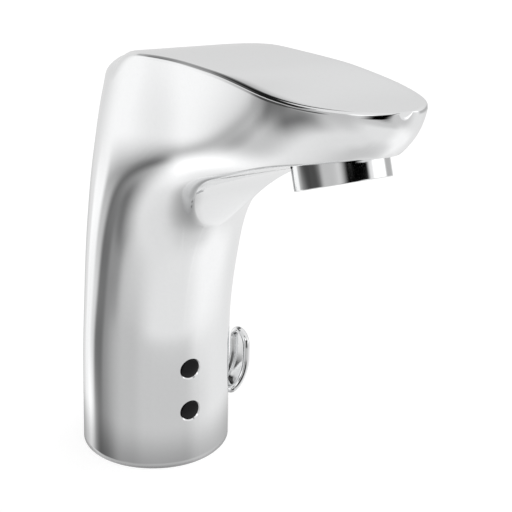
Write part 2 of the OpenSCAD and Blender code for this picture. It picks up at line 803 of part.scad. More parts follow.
// The dish in the paddle's inner face
dish_r = 7.6;
dish_depth = 0.7;
dish_low = paddle_low + paddle_r + neck_d;
dish_x = paddle_reach - paddle_t - dish_r + dish_depth;
module drive_spindle() {
  color("silver") at_lever() difference() {
    union() {
      translate([tang_in + slide_gap, -tang_w / 2, -tang_w / 2])
        cube([shaft_end - tang_in, tang_w, tang_w]);
      bar_x(spindle_r, shaft_end + slide_gap, spindle_end);
    }
    translate([neck_in, -spindle_r, -spindle_r - over]) cube([base_r, 2 * spindle_r, over + flat_cut]);
  }
}
module paddle_outline() {
  translate([0, -lever_front, paddle_low + paddle_r]) bar_x(paddle_r, base_r, paddle_reach + over);
  translate([0, -lever_front, paddle_top - paddle_r]) bar_x(paddle_r, base_r, paddle_reach + over);
  translate([base_r, -lever_front - paddle_r, paddle_low + paddle_r])
    cube([paddle_reach - base_r + over, paddle_w, paddle_top - paddle_low - paddle_w]);
}
module temperature_lever() {
  color("gainsboro") difference() {
    union() {
      at_lever() bar_x(neck_d / 2, neck_in, paddle_reach - paddle_sweep);
      intersection() {
        translate([0, base_r, 0]) rotate([90, 0, 0]) linear_extrude(2 * base_r)
          polygon(concat(
            [for (z = paddle_zs) paddle_out(z)],
            [for (k = [paddle_steps:-1:0]) paddle_in(paddle_zs[k])]
          ));
        paddle_outline();
      }
    }
    translate([dish_x, -lever_front, dish_low]) bar(dish_r, 0, paddle_top - paddle_r - dish_low);
    translate([dish_x, -lever_front, paddle_top - paddle_r]) sphere(r = dish_r, $fn = round_fn);
    at_lever() bar_x(spindle_r + run_gap, neck_in - over, spindle_end + slide_gap);
    at_lever() translate([grub_x, 0, 0]) bar(grub_r, -neck_d, 0);
  }
}
module lever_screw() {
  color("dimgray") at_lever() translate([grub_x, 0, 0]) difference() {
    bar(grub_r - run_gap, -neck_d / 2 + seat_gap, -spindle_r + flat_cut - run_gap);
    bar(grub_r / 2, -neck_d, -neck_d / 2 + over, 6);
  }
}

// Solenoid valve on the mixing block
module valve_gasket() {
  color("dimgray") difference() {
    at_valve() bar(diaphragm_r, block_h + run_gap / 2, block_h + gasket_h);
    translate([port_x, valve_y, 0]) bar(port_r + slide_gap, block_h - over, block_h + over);
  }
}
module valve_body() {
  color("whitesmoke") difference() {
    union() {
      translate([-valve_half_x, valve_y - valve_half_y, block_h + run_gap])
        cube([2 * valve_half_x, 2 * valve_half_y, cover_z - block_h - run_gap]);
      at_tube() bar(pipe_boss_r, block_h + run_gap, pipe_boss_top);
    }
    at_valve() bar(diaphragm_r + slide_gap, block_h - over, block_h + gasket_h + run_gap);
    at_valve() ring(diaphragm_r - diaphragm_rim_w, boss_pipe_r, chamber_z, rim_z + over);
    at_valve() bar(diaphragm_r + slide_gap, rim_z, cover_z + over);
    at_valve() bar(pipe_r, chamber_z - over, rim_z + over);
    at_valve() bar(boss_pipe_r + over, rim_z - diaphragm_sink, rim_z + over);
    drillings();
    at_valve() translate([0, 0, chamber_z - over]) rotate([-90, 0, 0])
      bar(pipe_r, 0, tube_back - valve_y);
    at_tube() bar(pipe_r, chamber_z - over, pipe_boss_top + over);
    at_tube() bar(tube_r + run_gap, tube_foot - run_gap, pipe_boss_top + over);
    at_tube() bar(seal_bore_r, pipe_boss_top - seal_depth, pipe_boss_top + over);
    valve_corners() bar(valve_screw_r + slide_gap, block_h - over, cover_z + over);
  }
}
module diaphragm() {
  color("dimgray") at_valve() difference() {
    union() {
      bar(diaphragm_r, rim_z + run_gap, cover_z - run_gap);
      bar(boss_pipe_r, rim_z - diaphragm_sink + run_gap, cover_z - run_gap);
    }
    bar(check_stem_r, rim_z - 2 * over, cover_z + over);
  }
}
insert_t = 1;
insert_room = 0.7;
cover_void = insert_t + insert_room;
plunger_foot = cover_z + insert_t + run_gap;
plunger_top = plunger_foot + plunger_h;
core_plug_z = plunger_top + spring_room_share * plunger_stroke + 2 * run_gap;
module diaphragm_insert() {
  color("ivory") at_valve() difference() {
    bar(boss_pipe_r + over, cover_z, cover_z + insert_t);
    bar(check_stem_r, cover_z - over, cover_z + insert_t + over);
  }
}
module solenoid_tube() {
  color("silver") difference() {
    union() {
      translate([-valve_half_x, valve_y - valve_half_y, cover_z + run_gap])
        cube([2 * valve_half_x, 2 * valve_half_y, cover_t - run_gap]);
      at_valve() bar(core_r, cover_z + run_gap, core_top);
    }
    at_tube() bar(pipe_boss_r + slide_gap, cover_z, cover_z + cover_t + over);
    at_valve() bar(boss_pipe_r + over + slide_gap, cover_z - over, cover_z + cover_void);
    at_valve() bar(plunger_r + run_gap, cover_z, core_plug_z);
    valve_corners() bar(valve_screw_r + slide_gap, cover_z - over, cover_z + cover_t + over);
  }
}
module plunger() {
  color("lightsteelblue") at_valve() {
    bar(plunger_r, plunger_foot + over / 2, plunger_top);
    bar(pipe_r, plunger_foot, plunger_foot + over);
  }
}
module plunger_spring() {
  color("lightsteelblue") at_valve()
    spring(pipe_r, plunger_top + run_gap, core_plug_z - run_gap);
}
module solenoid_coil() {
  color("darkslategray") at_valve() ring(coil_d / 2, core_r + slide_gap, coil_foot, coil_foot + coil_h);
}
module coil_frame() {
  color("gray") at_valve() difference() {
    translate([-frame_half_x, -frame_half_y, coil_foot])
      cube([2 * frame_half_x, 2 * frame_half_y, frame_top - coil_foot]);
    translate([-frame_half_x + frame_t, -frame_half_y - over, coil_foot - over])
      cube([2 * (frame_half_x - frame_t), 2 * (frame_half_y + over), coil_h + seat_gap + over]);
    bar(core_r + slide_gap, frame_top - 2 * over, frame_top + over);
  }
}
module valve_screws() {
  color("silver") valve_corners() difference() {
    union() {
      bar(valve_screw_r - run_gap, valve_screw_foot + slide_gap, cover_z + cover_t + over);
      bar(2 * valve_screw_r - seat_gap, cover_z + cover_t + run_gap / 2, cover_z + cover_t + 2 * over);
    }
    bar(key_r, cover_z + cover_t + over, cover_z + cover_t + 3 * over, 6);
  }
}

// Sensor behind the two eyes
module sensor_housing() {
  color("darkslategray") difference() {
    translate([-sensor_half_x, sensor_front, sensor_foot])
      cube([2 * sensor_half_x, sensor_back - sensor_front, sensor_top - sensor_foot]);
    translate([-sensor_half_x + sensor_wall, -lens_back + sensor_wall, sensor_foot + sensor_wall])
      cube([2 * (sensor_half_x - sensor_wall), base_r, sensor_top - sensor_foot - 2 * sensor_wall]);
    for (z = [lower_eye_h, upper_eye_h]) {
      at_eye(z) bar(eye_r, lens_back - run_gap, base_r);
      at_eye(z) bar(led_r + slide_gap, 0, base_r);
    }
  }
}
module eye_lens(z) {
  color("black") at_eye(z) bar(lens_r, lens_back, base_r - wall / 6 - eye_recess);
}
module upper_eye_lens() {
  eye_lens(upper_eye_h);
}
module lower_eye_lens() {
  eye_lens(lower_eye_h);
}
module circuit_board() {
  color("darkgreen") translate([-board_half_x, sensor_back - board_t, sensor_foot + sensor_wall + slide_gap])
    cube([2 * board_half_x, board_t - run_gap, sensor_top - sensor_foot - 2 * (sensor_wall + slide_gap)]);
}
led_back = board_t - sensor_back + run_gap;
module led(z) {
  at_eye(z) {
    bar(led_r, led_back, lens_back - over);
    bar(led_r + led_rim_w, led_back, led_back + over);
  }
}
module infrared_emitter() {
  color("lavender") led(upper_eye_h);
}
module infrared_receiver() {
  color("dimgray") led(lower_eye_h);
}

// Battery holder over the valve
module cells() {
  for (x = [-1, 1]) translate([x * cell_x, cell_y, 0]) children();
}
module posts(r, z0, z1) {
  for (y = [-1, 1]) translate([0, cell_y + y * post_y, 0]) bar(r, z0, z1);
}
module plate(z0, z1) {
  cells() bar(cell_r + over, z0, z1);
  translate([-cell_x, cell_y - post_y - post_r, z0]) cube([2 * cell_x, 2 * (post_y + post_r), z1 - z0]);
}
module battery_holder() {
  color("dimgray") difference() {
    union() {
      plate(holder_z, holder_z + holder_t);
      cells() bar(cell_r + over, holder_z, holder_z + cup_h);
      posts(post_r, holder_z, lid_z);
    }
    cells() bar(cell_r + slide_gap, cell_z - run_gap, holder_z + cup_h + over);
  }
}
module battery_cells() {
  color("steelblue") cells() {
    bar(cell_r, cell_z, cell_top - over);
    bar(cell_r / 3, cell_z, cell_top);
  }
}
module battery_contacts() {
  color("goldenrod") {
    translate([-cell_x - spool_r, cell_y - boss_r, cell_top + run_gap])
      cube([2 * (cell_x + spool_r), 2 * boss_r, strip_t]);
  }
}
module battery_lid() {
  color("dimgray") difference() {
    plate(lid_z, lid_z + holder_t);
    posts(mesh_w, lid_z - over, lid_z + holder_t + over);
  }
}

// Water tube from the valve to the outlet, through rings from [y, z] and a turn
bend_steps = 14;
tube_sides = 24;
function tube_ring(r, y, z, turn) = [
  for (j = [0:tube_sides - 1])
    let (b = -360 * j / tube_sides)
    [r * cos(b), y + r * sin(b) * cos(turn), z + r * sin(b) * sin(turn)]
];
function tube_rings(r, slack) = concat(
  [tube_ring(r, tube_back, tube_foot - slack, 0)],
  [
    for (k = [0:bend_steps])
      let (a = bend_turn * k / bend_steps)
      tube_ring(r, bend_centre_y + bend_r * cos(a), bend_centre_z + bend_r * sin(a), a)
  ],
  [
    let (d = run_len - run_gap + slack)
    tube_ring(r, bend_out_y + run_dir[0] * d, bend_out_z + run_dir[1] * d, bend_turn)
  ]
);
module water_tube() {
  color("white") difference() {
    loft(tube_rings(tube_r, 0));
    loft(tube_rings(tube_r - tube_wall, over));
  }
}
module tube_o_rings() {
  color("dimgray") {
    at_tube() o_ring(seal_r, seal_cord, pipe_boss_top - seal_depth / 2);
    at_run() o_ring(seal_r, seal_cord, run_len - socket_depth + seal_depth / 2);
  }
}

// Aerator
module aerator_sleeve() {
  color("gainsboro") at_outlet() difference() {
    union() {
      bar(sleeve_r, 0, sleeve_drop + slide_gap - run_gap);
      bar(outlet_bore_r - run_gap, 0, sleeve_top);
    }
    bar(sleeve_bore_r, sleeve_lip, sleeve_top + over);
    bar(sleeve_bore_r - over, -over, sleeve_lip + over);
  }
}
module aerator_insert() {
  color("lightgray") at_outlet() {
    ring(insert_r, insert_r - over, sleeve_lip + run_gap, sleeve_top - run_gap);
    intersection() {
      bar(insert_r - over / 2, sleeve_lip + run_gap, sleeve_lip + mesh_h);
      union() for (k = [-5:5]) {
        translate([k * mesh_pitch - mesh_w / 2, -base_r, 0]) cube([mesh_w, 2 * base_r, base_r]);
        translate([-base_r, k * mesh_pitch - mesh_w / 2, 0]) cube([2 * base_r, mesh_w, base_r]);
      }
    }
    difference() {
      bar(insert_r - over / 2, sleeve_top - 2 * over, sleeve_top - over);
      for (a = [0:45:315]) rotate([0, 0, a]) translate([insert_r / 2, 0, 0]) bar(mesh_w, 0, base_r);
    }
  }
}
module aerator_seal() {
  color("dimgray") at_outlet()
    ring(outlet_bore_r - slide_gap, mouth_r + seat_gap, sleeve_top + run_gap, thread_top - run_gap);
}

body_casting();
base_gasket();
body_screws();
mixing_block();
inlet_filters();
hot_check_housing();
hot_check_poppet();
hot_check_spring();
cold_check_housing();
cold_check_poppet();
cold_check_spring();
mixing_cartridge();
mixing_spool();
spool_o_rings();
cartridge_nut();
wall_bush();
drive_spindle();
temperature_lever();
lever_screw();
valve_gasket();
valve_body();
diaphragm();
diaphragm_insert();
solenoid_tube();
plunger();
plunger_spring();
solenoid_coil();
coil_frame();
valve_screws();
sensor_housing();
upper_eye_lens();
lower_eye_lens();
circuit_board();
infrared_emitter();
infrared_receiver();
battery_holder();
battery_cells();
battery_contacts();
battery_lid();
water_tube();
tube_o_rings();
aerator_sleeve();
aerator_insert();
aerator_seal();
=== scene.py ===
"""Looks of the basin sensor tap: polished skin, eyes, lever, outlet, springs, finishes and studio."""

import json
import math

import bmesh
import bpy
import numpy as np
from mathutils import Matrix, Vector
from mathutils.bvhtree import BVHTree


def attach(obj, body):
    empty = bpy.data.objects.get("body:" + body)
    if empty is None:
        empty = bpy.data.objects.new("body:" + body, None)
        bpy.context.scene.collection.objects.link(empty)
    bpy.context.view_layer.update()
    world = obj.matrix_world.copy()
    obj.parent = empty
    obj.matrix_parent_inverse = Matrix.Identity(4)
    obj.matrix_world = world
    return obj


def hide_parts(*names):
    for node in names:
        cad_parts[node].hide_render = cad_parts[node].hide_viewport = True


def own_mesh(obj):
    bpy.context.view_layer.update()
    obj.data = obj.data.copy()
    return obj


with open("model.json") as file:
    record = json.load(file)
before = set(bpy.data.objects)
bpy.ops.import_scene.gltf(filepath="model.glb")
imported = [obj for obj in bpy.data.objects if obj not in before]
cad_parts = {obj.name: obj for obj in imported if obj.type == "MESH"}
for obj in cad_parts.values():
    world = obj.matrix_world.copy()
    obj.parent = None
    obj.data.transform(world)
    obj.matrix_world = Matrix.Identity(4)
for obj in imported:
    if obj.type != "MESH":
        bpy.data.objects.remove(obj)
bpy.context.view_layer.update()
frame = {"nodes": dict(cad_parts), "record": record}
nodes = frame["nodes"]
MM = 0.001

# Sizes in mm; a pair is a depth and a height in the side view
BASE_R = 25.0
BODY_H = 138.0
REACH = 117.6
WALL = 3.0
WAIST_SHARE = 0.16
WAIST_START_SHARE = 0.128
WAIST_RUN_SHARE = 0.34
CROWN_Y = -0.576 * REACH
CROWN_FRONT = 0.326 * REACH
CROWN_DIP = 2.0
CROWN_FALL = 7.2
CROWN_POWER = 2.83
SCOOP_R = 45.0
SCOOP_RUN = 35.0
TILT = math.radians(20.4)
UP = np.array([math.sin(TILT), math.cos(TILT)])
BACK = np.array([math.cos(TILT), -math.sin(TILT)])
OUTLET = np.array([-97.5, 115.0])
SLEEVE_DROP = 6.5
SLEEVE_R = 11.65
FACE = OUTLET + UP * SLEEVE_DROP
TURN = FACE + BACK * SCOOP_RUN
CENTRE = TURN - UP * SCOOP_R
FOOT = np.array([TURN[0], CENTRE[1] + 0.25 * SCOOP_R])
LIP_START = 7.2
LIP_RUN = 12.0
LIP_SHARE = 0.72
NAPE_R = 11.0
RIM_R = 1.3
RIM_SOFT_R = 11.0
RIM_FADE = 0.314 * REACH
LOW_RIM_R = 0.7
GROOVE_IN_R = 22.9
GROOVE_OUT_R = 24.1
GROOVE_H = 1.2
OUTLET_BORE_R = 10.5
OUTLET_BORE_H = 8.0
LEVER_HOLE_R = 2.86
LEVER_HOLE_START = 14.0
SLIDE_GAP = 0.1
OVERRUN = 1.0
EYE_R = 3.25
EYE_RIM = 0.4
EYES = {"lower": 19.4, "upper": 34.4}
LEVER_Y = -1.0
LEVER_H = 10.8
PADDLE_R = 5.6
PADDLE_T = 3.1
PADDLE_IN = 25.4
PADDLE_OUT = 34.6
PADDLE_BEND = 13.0
PADDLE_FLAT = 0.6
PADDLE_CORNER = 3.0
PADDLE_CROWN = 0.35
PADDLE_DISH = 1.6
PADDLE_LOW = LEVER_H - 1.6
PADDLE_TOP = LEVER_H + 21.4

# Height, back line, widest line and half width, as shares of the base radius
SIDE_LINES = np.array([
    [0, 1, 0, 1],
    [0.217, 0.924, -0.02, 0.988],
    [0.435, 0.862, -0.156, 0.965],
    [0.652, 0.736, -0.5, 0.964],
    [0.833, 0.616, -1.05, 0.942],
    [0.942, 0.462, -1.42, 0.905],
    [1.02, 0.4, -1.65, 0.95],
])

# Height, front line and the line where the front starts to round in
FRONT_LINES = np.array([
    [0, 0, 0],
    [0.217, -0.005, 0.007],
    [0.326, 0, 0.014],
    [0.435, 0.023, 0.038],
    [0.507, 0.049, 0.058],
    [0.58, 0.09, 0.077],
    [0.638, 0.148, 0.101],
    [0.688, 0.231, 0.128],
    [0.725, 0.313, 0.168],
    [0.761, 0.447, 0.231],
    [0.797, 0.626, 0.315],
    [0.833, 0.793, 0.429],
    [0.87, 0.89, 0.529],
    [0.906, 0.945, 0.595],
    [0.942, 0.999, 0.706],
    [1.02, 1, 0.765],
])


# Outline of the casting
def fair_curve(table, column, x):
    """The curve through a column of a table that doesn't overshoot between its points."""
    xs = table[:, 0]
    ys = table[:, column]
    run = np.diff(xs)
    slope = np.diff(ys) / run
    turn = np.empty(len(xs))
    turn[0] = slope[0]
    turn[-1] = slope[-1]
    for i in range(1, len(xs) - 1):
        a = slope[i - 1]
        b = slope[i]
        if a * b <= 0:
            turn[i] = 0
        else:
            shares = (2 * run[i] + run[i - 1]) / a + (run[i] + 2 * run[i - 1]) / b
            turn[i] = 3 * (run[i - 1] + run[i]) / shares
    i = np.clip(np.searchsorted(xs, x, side="right") - 1, 0, len(xs) - 2)
    u = np.clip((x - xs[i]) / run[i], 0, 1)
    v = 1 - u
    ends = ys[i] * (1 + 2 * u) * v * v + ys[i + 1] * (3 - 2 * u) * u * u
    return ends + run[i] * u * v * (turn[i] * v - turn[i + 1] * u)


def evened(samples, spread, axis=0):
    """Evens out a sampled line, so that reflections run over it without kinks."""
    reach = int(4 * spread)
    share = np.exp(-0.5 * (np.arange(-reach, reach + 1) / spread) ** 2)
    share /= share.sum()
    ends = [(reach, reach) if i == axis else (0, 0) for i in range(samples.ndim)]
    longer = np.pad(samples, ends, mode="reflect", reflect_type="odd")
    return np.apply_along_axis(lambda line: np.convolve(line, share, mode="valid"), axis, longer)


def ease(t):
    """A smooth rise from nought to one."""
    u = np.clip(t, 0, 1)
    return u * u * (3 - 2 * u)


# The grid on which the side view is sampled, and the runs in mm over which it is evened out
STEP = 0.5
LINE_SPREAD = 3.0
SKIN_SPREAD = 2.0
PAST_SHARE = 1.6
HEIGHTS = np.arange(0, 140.01, STEP)
DEPTHS = np.arange(-128, 34.01, STEP)


def by_height(table, column):
    """A column of a table at every sampled height."""
    share = np.minimum(HEIGHTS / BODY_H, table[-1, 0])
    return evened(fair_curve(table, column, share), LINE_SPREAD / STEP)


BACK_LINE = by_height(SIDE_LINES, 1) * BASE_R
WIDE_LINE = by_height(SIDE_LINES, 2) * BASE_R
HALF_WIDTH = by_height(SIDE_LINES, 3) * BASE_R
FRONT_LINE = -BASE_R - by_height(FRONT_LINES, 1) * (REACH - BASE_R)
FULL_LINE = -by_height(FRONT_LINES, 2) * REACH
NOSE_START = float(np.interp(BODY_H - CROWN_DIP, HEIGHTS, FULL_LINE))


def width_squares():
    """The square of the half width over the side view, below nought outside it."""
    y = DEPTHS[:, None]
    waist = 1 - WAIST_SHARE * ease((-y / REACH - WAIST_START_SHARE) / WAIST_RUN_SHARE)
    back = (y - WIDE_LINE) / (BACK_LINE - WIDE_LINE)
    front = (y - FULL_LINE) / (FRONT_LINE - FULL_LINE)
    out = np.where(y > WIDE_LINE, back, np.where(y < FULL_LINE, front, 0))
    return (HALF_WIDTH * waist) ** 2 * (1 - np.clip(out, 0, PAST_SHARE) ** 2)


SQUARES = evened(evened(width_squares(), SKIN_SPREAD / STEP, 0), SKIN_SPREAD / STEP, 1)


def width_square(y, z):
    """The square of the half width at one place in the side view."""
    across = min(max((y - DEPTHS[0]) / STEP, 0), len(DEPTHS) - 1.001)
    along = min(max((z - HEIGHTS[0]) / STEP, 0), len(HEIGHTS) - 1.001)
    i = int(across)
    j = int(along)
    a = across - i
    b = along - j
    low = (1 - b) * SQUARES[i, j] + b * SQUARES[i, j + 1]
    high = (1 - b) * SQUARES[i + 1, j] + b * SQUARES[i + 1, j + 1]
    return (1 - a) * low + a * high


def half_width(place):
    return math.sqrt(max(0.0, width_square(place[0], place[1])))


def crown_height(y):
    """Height of the flat leaf on top, along the middle."""
    if y < CROWN_Y:
        return BODY_H - CROWN_DIP * float(ease((CROWN_Y - y) / CROWN_FRONT))
    return BODY_H - CROWN_FALL * (1 - y / CROWN_Y) ** CROWN_POWER


def underside_height(y):
    """Height of the spout's underside, which turns up a little at the nose."""
    along = FACE[0] - y
    past = along + LIP_START + LIP_RUN / 2
    if past < LIP_RUN:
        past = max(past, 0) ** 2 / LIP_RUN / 2
    else:
        past -= LIP_RUN / 2
    return FACE[1] + (along - (1 - LIP_SHARE) * past) * math.tan(TILT)


def crossing(low, high, is_inside):
    """Halves the way from low, where the test holds, to high, where it doesn't."""
    for _ in range(30):
        middle = (low + high) / 2
        if is_inside(middle):
            low = middle
        else:
            high = middle
    return low


def to_edge(start, way, far):
    """Distance from start to where the casting's side view ends."""

    def is_inside(run):
        place = start + way * run
        return width_square(place[0], place[1]) > 0

    return crossing(0.0, far, is_inside)


def from_edge(way, far):
    """Distance from the foot of the bend to where the casting's side view begins."""

    def is_outside(run):
        place = FOOT + way * run
        return width_square(place[0], place[1]) <= 0

    return crossing(0.0, far, is_outside)


def to_crown(way):
    """Distance from the foot of the bend to the leaf on top."""
    run = 0.0
    for _ in range(20):
        run = (run + (crown_height(FOOT[0] + way[0] * run) - FOOT[1]) / way[1]) / 2
    return run


def to_scoop(way):
    """Distance from the foot of the bend to the scoop's arc."""
    offset = FOOT - CENTRE
    along = offset @ way
    return math.sqrt(along * along - offset @ offset + SCOOP_R ** 2) - along


def soft_min(a, b, k):
    """The lesser of two runs, with the corner between them rounded over k."""
    h = max(k - abs(a - b), 0) / k
    return min(a, b) - h * h * k / 4


FRONTWARD = np.array([-1.0, 0.0])
BACKWARD = np.array([1.0, 0.0])

# Slices of each stretch
COLUMN_SLICES = 46
BEND_SLICES = 66
SPOUT_SLICES = 22
NOSE_SLICES = 16

# Where the casting's edges are looked for from: two depths in the column, one in the nose,
# and a run from the foot of the bend
BACK_START = -2.0
FRONT_START = -8.0
NOSE_INSIDE = -95.0
BEND_INSIDE = 30.0

# Degrees of the bend at which a slice's ends change from one line to another
NAPE_FROM = 22
FRONT_UNTIL = 50
SCOOP_FROM = 60
BACK_UNTIL = 78

# How far round a quarter turn the slices of the nose go, in degrees
NOSE_TURN = 84


def column_sections():
    """Level slices from the deck up to the bend, each from its back to its front."""
    found = []
    for z in np.linspace(0, FOOT[1], COLUMN_SLICES)[:-1]:
        middle = np.array([BACK_START, z])
        inside = np.array([FRONT_START, z])
        back = middle + BACKWARD * to_edge(middle, BACKWARD, far=60)
        front = inside + FRONTWARD * to_edge(inside, FRONTWARD, far=100)
        found.append((back, front))
    return found


def bend_sections():
    """Slices that fan round the foot of the bend, each from the nape to the scoop."""
    found = []
    for degrees in np.linspace(0, 90, BEND_SLICES)[:-1]:
        angle = math.radians(degrees)
        way = np.array([math.cos(angle), math.sin(angle)])
        run = BEND_INSIDE if degrees < SCOOP_FROM else to_scoop(way) + 1
        start = FOOT + way * run
        back = to_edge(start, way, far=120) + run if degrees < BACK_UNTIL else math.inf
        outer = soft_min(back, to_crown(way), NAPE_R) if degrees > NAPE_FROM else back
        inner = to_scoop(way)
        if degrees < FRONT_UNTIL:
            inner = max(inner, from_edge(way, run))
        found.append((FOOT + way * outer, FOOT + way * inner))
    return found


def spout_sections():
    """Upright slices along the spout, each from the leaf down to the underside."""
    found = []
    for y in np.linspace(FOOT[0], NOSE_START, SPOUT_SLICES)[:-1]:
        found.append((np.array([y, crown_height(y)]), np.array([y, underside_height(y)])))
    start = np.array([NOSE_INSIDE, crown_height(-REACH)])
    tip = NOSE_INSIDE - to_edge(start, FRONTWARD, far=32)
    for degrees in np.linspace(0, NOSE_TURN, NOSE_SLICES):
        y = NOSE_START + (tip - NOSE_START) * math.sin(math.radians(degrees))
        top = crown_height(y)
        low = underside_height(y)
        if width_square(y, low) <= 0:
            low = crossing(low, top, lambda z: width_square(y, z) <= 0)
        found.append((np.array([y, top]), np.array([y, low])))
    return found


def rounded_off(depth, radius):
    """How far a rounded edge draws a side in, at a depth from the edge."""
    if depth >= radius:
        return 0.0
    return radius - math.sqrt(max(0, radius * radius - (radius - depth) ** 2))


def quarter_turn(count):
    """How far in a quarter circle runs, as shares of its radius."""
    return [1 - math.cos(math.pi / 2 * k / count) for k in range(count)]


# Points of half a slice, and the least sizes that its ends keep
LEAF_POINTS = 7
EDGE_POINTS = 6
SIDE_POINTS = 34
LOW_EDGE_POINTS = 4
UNDER_POINTS = 4
END_SHARE = 0.004
END_WIDTH = 0.05
LEAST = 0.02


def right_half(section):
    """The right half of a slice: leaf, rounded edge, side, lower edge, underside."""
    outer, inner = section
    length = float(np.linalg.norm(inner - outer))

    def width_at(t):
        return half_width(outer + (inner - outer) * t)

    def flatness(t, beside):
        return min(1.0, width_at(t) / max(width_at(beside), END_WIDTH))

    flat_top = flatness(0, END_SHARE)
    flat_low = flatness(1, 1 - END_SHARE)
    top = END_SHARE * (1 - flat_top)
    low = 1 - END_SHARE * (1 - flat_low)
    soft = RIM_R + (RIM_SOFT_R - RIM_R) * float(ease(1 + outer[0] / RIM_FADE))
    top_r = max(min(soft, width_at(0) / 2, length / 4) * flat_top, LEAST)
    low_r = max(min(LOW_RIM_R, width_at(1) / 3, length / 4) * flat_low, LEAST)
    start = top + top_r / length
    end = low - low_r / length
    ts = [top + top_r * share / length for share in quarter_turn(EDGE_POINTS)]
    for k in range(SIDE_POINTS + 1):
        ts.append(start + (end - start) * (1 - math.cos(math.pi * k / SIDE_POINTS)) / 2)
    ts += [low - low_r * share / length for share in quarter_turn(LOW_EDGE_POINTS)[::-1]]
    side = []
    for t in ts:
        drawn = rounded_off((t - top) * length, top_r) + rounded_off((low - t) * length, low_r)
        side.append((max(width_at(t) - drawn, LEAST), t))
    leaf = []
    for k in range(LEAF_POINTS):
        leaf.append((side[0][0] * k / LEAF_POINTS, top * (k / LEAF_POINTS) ** 2))
    under = []
    for k in range(UNDER_POINTS - 1, -1, -1):
        under.append((side[-1][0] * k / UNDER_POINTS, 1 - (1 - low) * (k / UNDER_POINTS) ** 2))
    return [(x, *(outer + (inner - outer) * t)) for x, t in leaf + side + under]


def whole_slice(half):
    """Both halves of a slice, as one ring."""
    return half + [(-x, y, z) for x, y, z in half[-2:0:-1]]


def hollow_slice(section):
    """A slice drawn in by the casting's wall."""
    outer, inner = section
    half = right_half(section)
    length = np.linalg.norm(inner - outer)
    middle = (outer + inner) / 2
    along = (length - 2 * WALL) / length
    widest = max(x for x, y, z in half)
    across = (widest - WALL) / widest
    drawn = []
    for x, y, z in half:
        depth = middle[0] + (y - middle[0]) * along
        height = middle[1] + (z - middle[1]) * along
        drawn.append((x * across, depth, height))
    return whole_slice(drawn)


# Ways of making pieces
ROUND_SIDES = 96
FINE_SIDES = 128
BEYOND_SHARE = 1.1


def to_piece(name, bm, crease):
    """A smooth shaded piece, with sharp edges where it turns by more than crease degrees."""
    mesh = bpy.data.meshes.new(name)
    bmesh.ops.recalc_face_normals(bm, faces=bm.faces)
    bm.to_mesh(mesh)
    bm.free()
    piece = bpy.data.objects.new(name, mesh)
    bpy.context.scene.collection.objects.link(piece)
    mesh.shade_smooth()
    if crease:
        mesh.set_sharp_from_angle(angle=math.radians(crease))
    return piece


def skinned(name, rings, crease):
    """A sheet bent onto closed rings of points, in mm, and filled at both ends."""
    bm = bmesh.new()
    around = len(rings[0])
    made = bmesh.ops.create_grid(bm, x_segments=around, y_segments=len(rings) - 1, size=1)
    places = [place for ring in rings for place in ring + ring[:1]]
    for vert, place in zip(made["verts"], places):
        vert.co = Vector(place) * MM
    bmesh.ops.remove_doubles(bm, verts=bm.verts, dist=1e-8)
    filled = bmesh.ops.holes_fill(bm, edges=bm.edges, sides=0)
    bmesh.ops.triangulate(bm, faces=filled["faces"])
    return to_piece(name, bm, crease)


def turned(name, outline, place=Matrix.Identity(4), sides=ROUND_SIDES, crease=35, closed=True):
    """An outline of (r, z) in mm, spun round Z; an open one starts and ends on Z."""
    bm = bmesh.new()
    verts = [bm.verts.new((r * MM, 0, z * MM)) for r, z in outline]
    ends = verts[1:] + verts[:1] if closed else verts[1:]
    edges = [bm.edges.new(pair) for pair in zip(verts, ends)]
    bmesh.ops.spin(bm, geom=verts + edges, cent=(0, 0, 0), axis=(0, 0, 1), dvec=(0, 0, 0),
                   angle=2 * math.pi, steps=sides, use_merge=True, use_duplicate=False)
    bmesh.ops.remove_doubles(bm, verts=bm.verts, dist=1e-7)
    bm.transform(place)
    return to_piece(name, bm, crease)


def drill(name, r, start, end, place):
    """A plain round cutter, in mm, along its own Z."""
    bm = bmesh.new()
    middle = place @ Matrix.Translation((0, 0, (start + end) / 2 * MM))
    bmesh.ops.create_cone(bm, cap_ends=True, segments=ROUND_SIDES, radius1=r * MM, radius2=r * MM,
                          depth=(end - start) * MM, matrix=middle)
    return to_piece(name, bm, 0)


def cut(piece, cutters):
    """Takes the cutters' forms out of a piece."""
    for cutter in cutters:
        taken = piece.modifiers.new("cut", "BOOLEAN")
        taken.operation = "DIFFERENCE"
        taken.solver = "EXACT"
        taken.object = cutter
        bpy.context.view_layer.update()
        graph = bpy.context.evaluated_depsgraph_get()
        mesh = bpy.data.meshes.new_from_object(piece.evaluated_get(graph))
        piece.modifiers.clear()
        old = piece.data
        piece.data = mesh
        bpy.data.meshes.remove(old)
        bpy.data.objects.remove(cutter)
    return piece


def softened(outline, r):
    """Rounds each corner of a closed outline by about r, and keeps its straight runs flat."""
    found = []
    count = len(outline)
    for i in range(count):
        before, corner, after = (np.array(outline[j % count], float) for j in (i - 1, i, i + 1))
        back = before - corner
        on = after - corner
        start = corner + back / np.linalg.norm(back) * r
        end = corner + on / np.linalg.norm(on) * r
        found.append(tuple(corner + (start - corner) * BEYOND_SHARE))
        for t in np.linspace(0, 1, 5):
            found.append(tuple((1 - t) ** 2 * start + 2 * t * (1 - t) * corner + t * t * end))
        found.append(tuple(corner + (end - corner) * BEYOND_SHARE))
    return found


AT_OUTLET = Matrix.Translation((0, OUTLET[0] * MM, OUTLET[1] * MM)) @ Matrix.Rotation(-TILT, 4, "X")
AT_LEVER = Matrix.Translation((0, LEVER_Y * MM, LEVER_H * MM)) @ Matrix.Rotation(math.pi / 2, 4, "Y")


def at_eye(height):
    return Matrix.Translation((0, 0, height * MM)) @ Matrix.Rotation(math.pi / 2, 4, "X")


# The casting

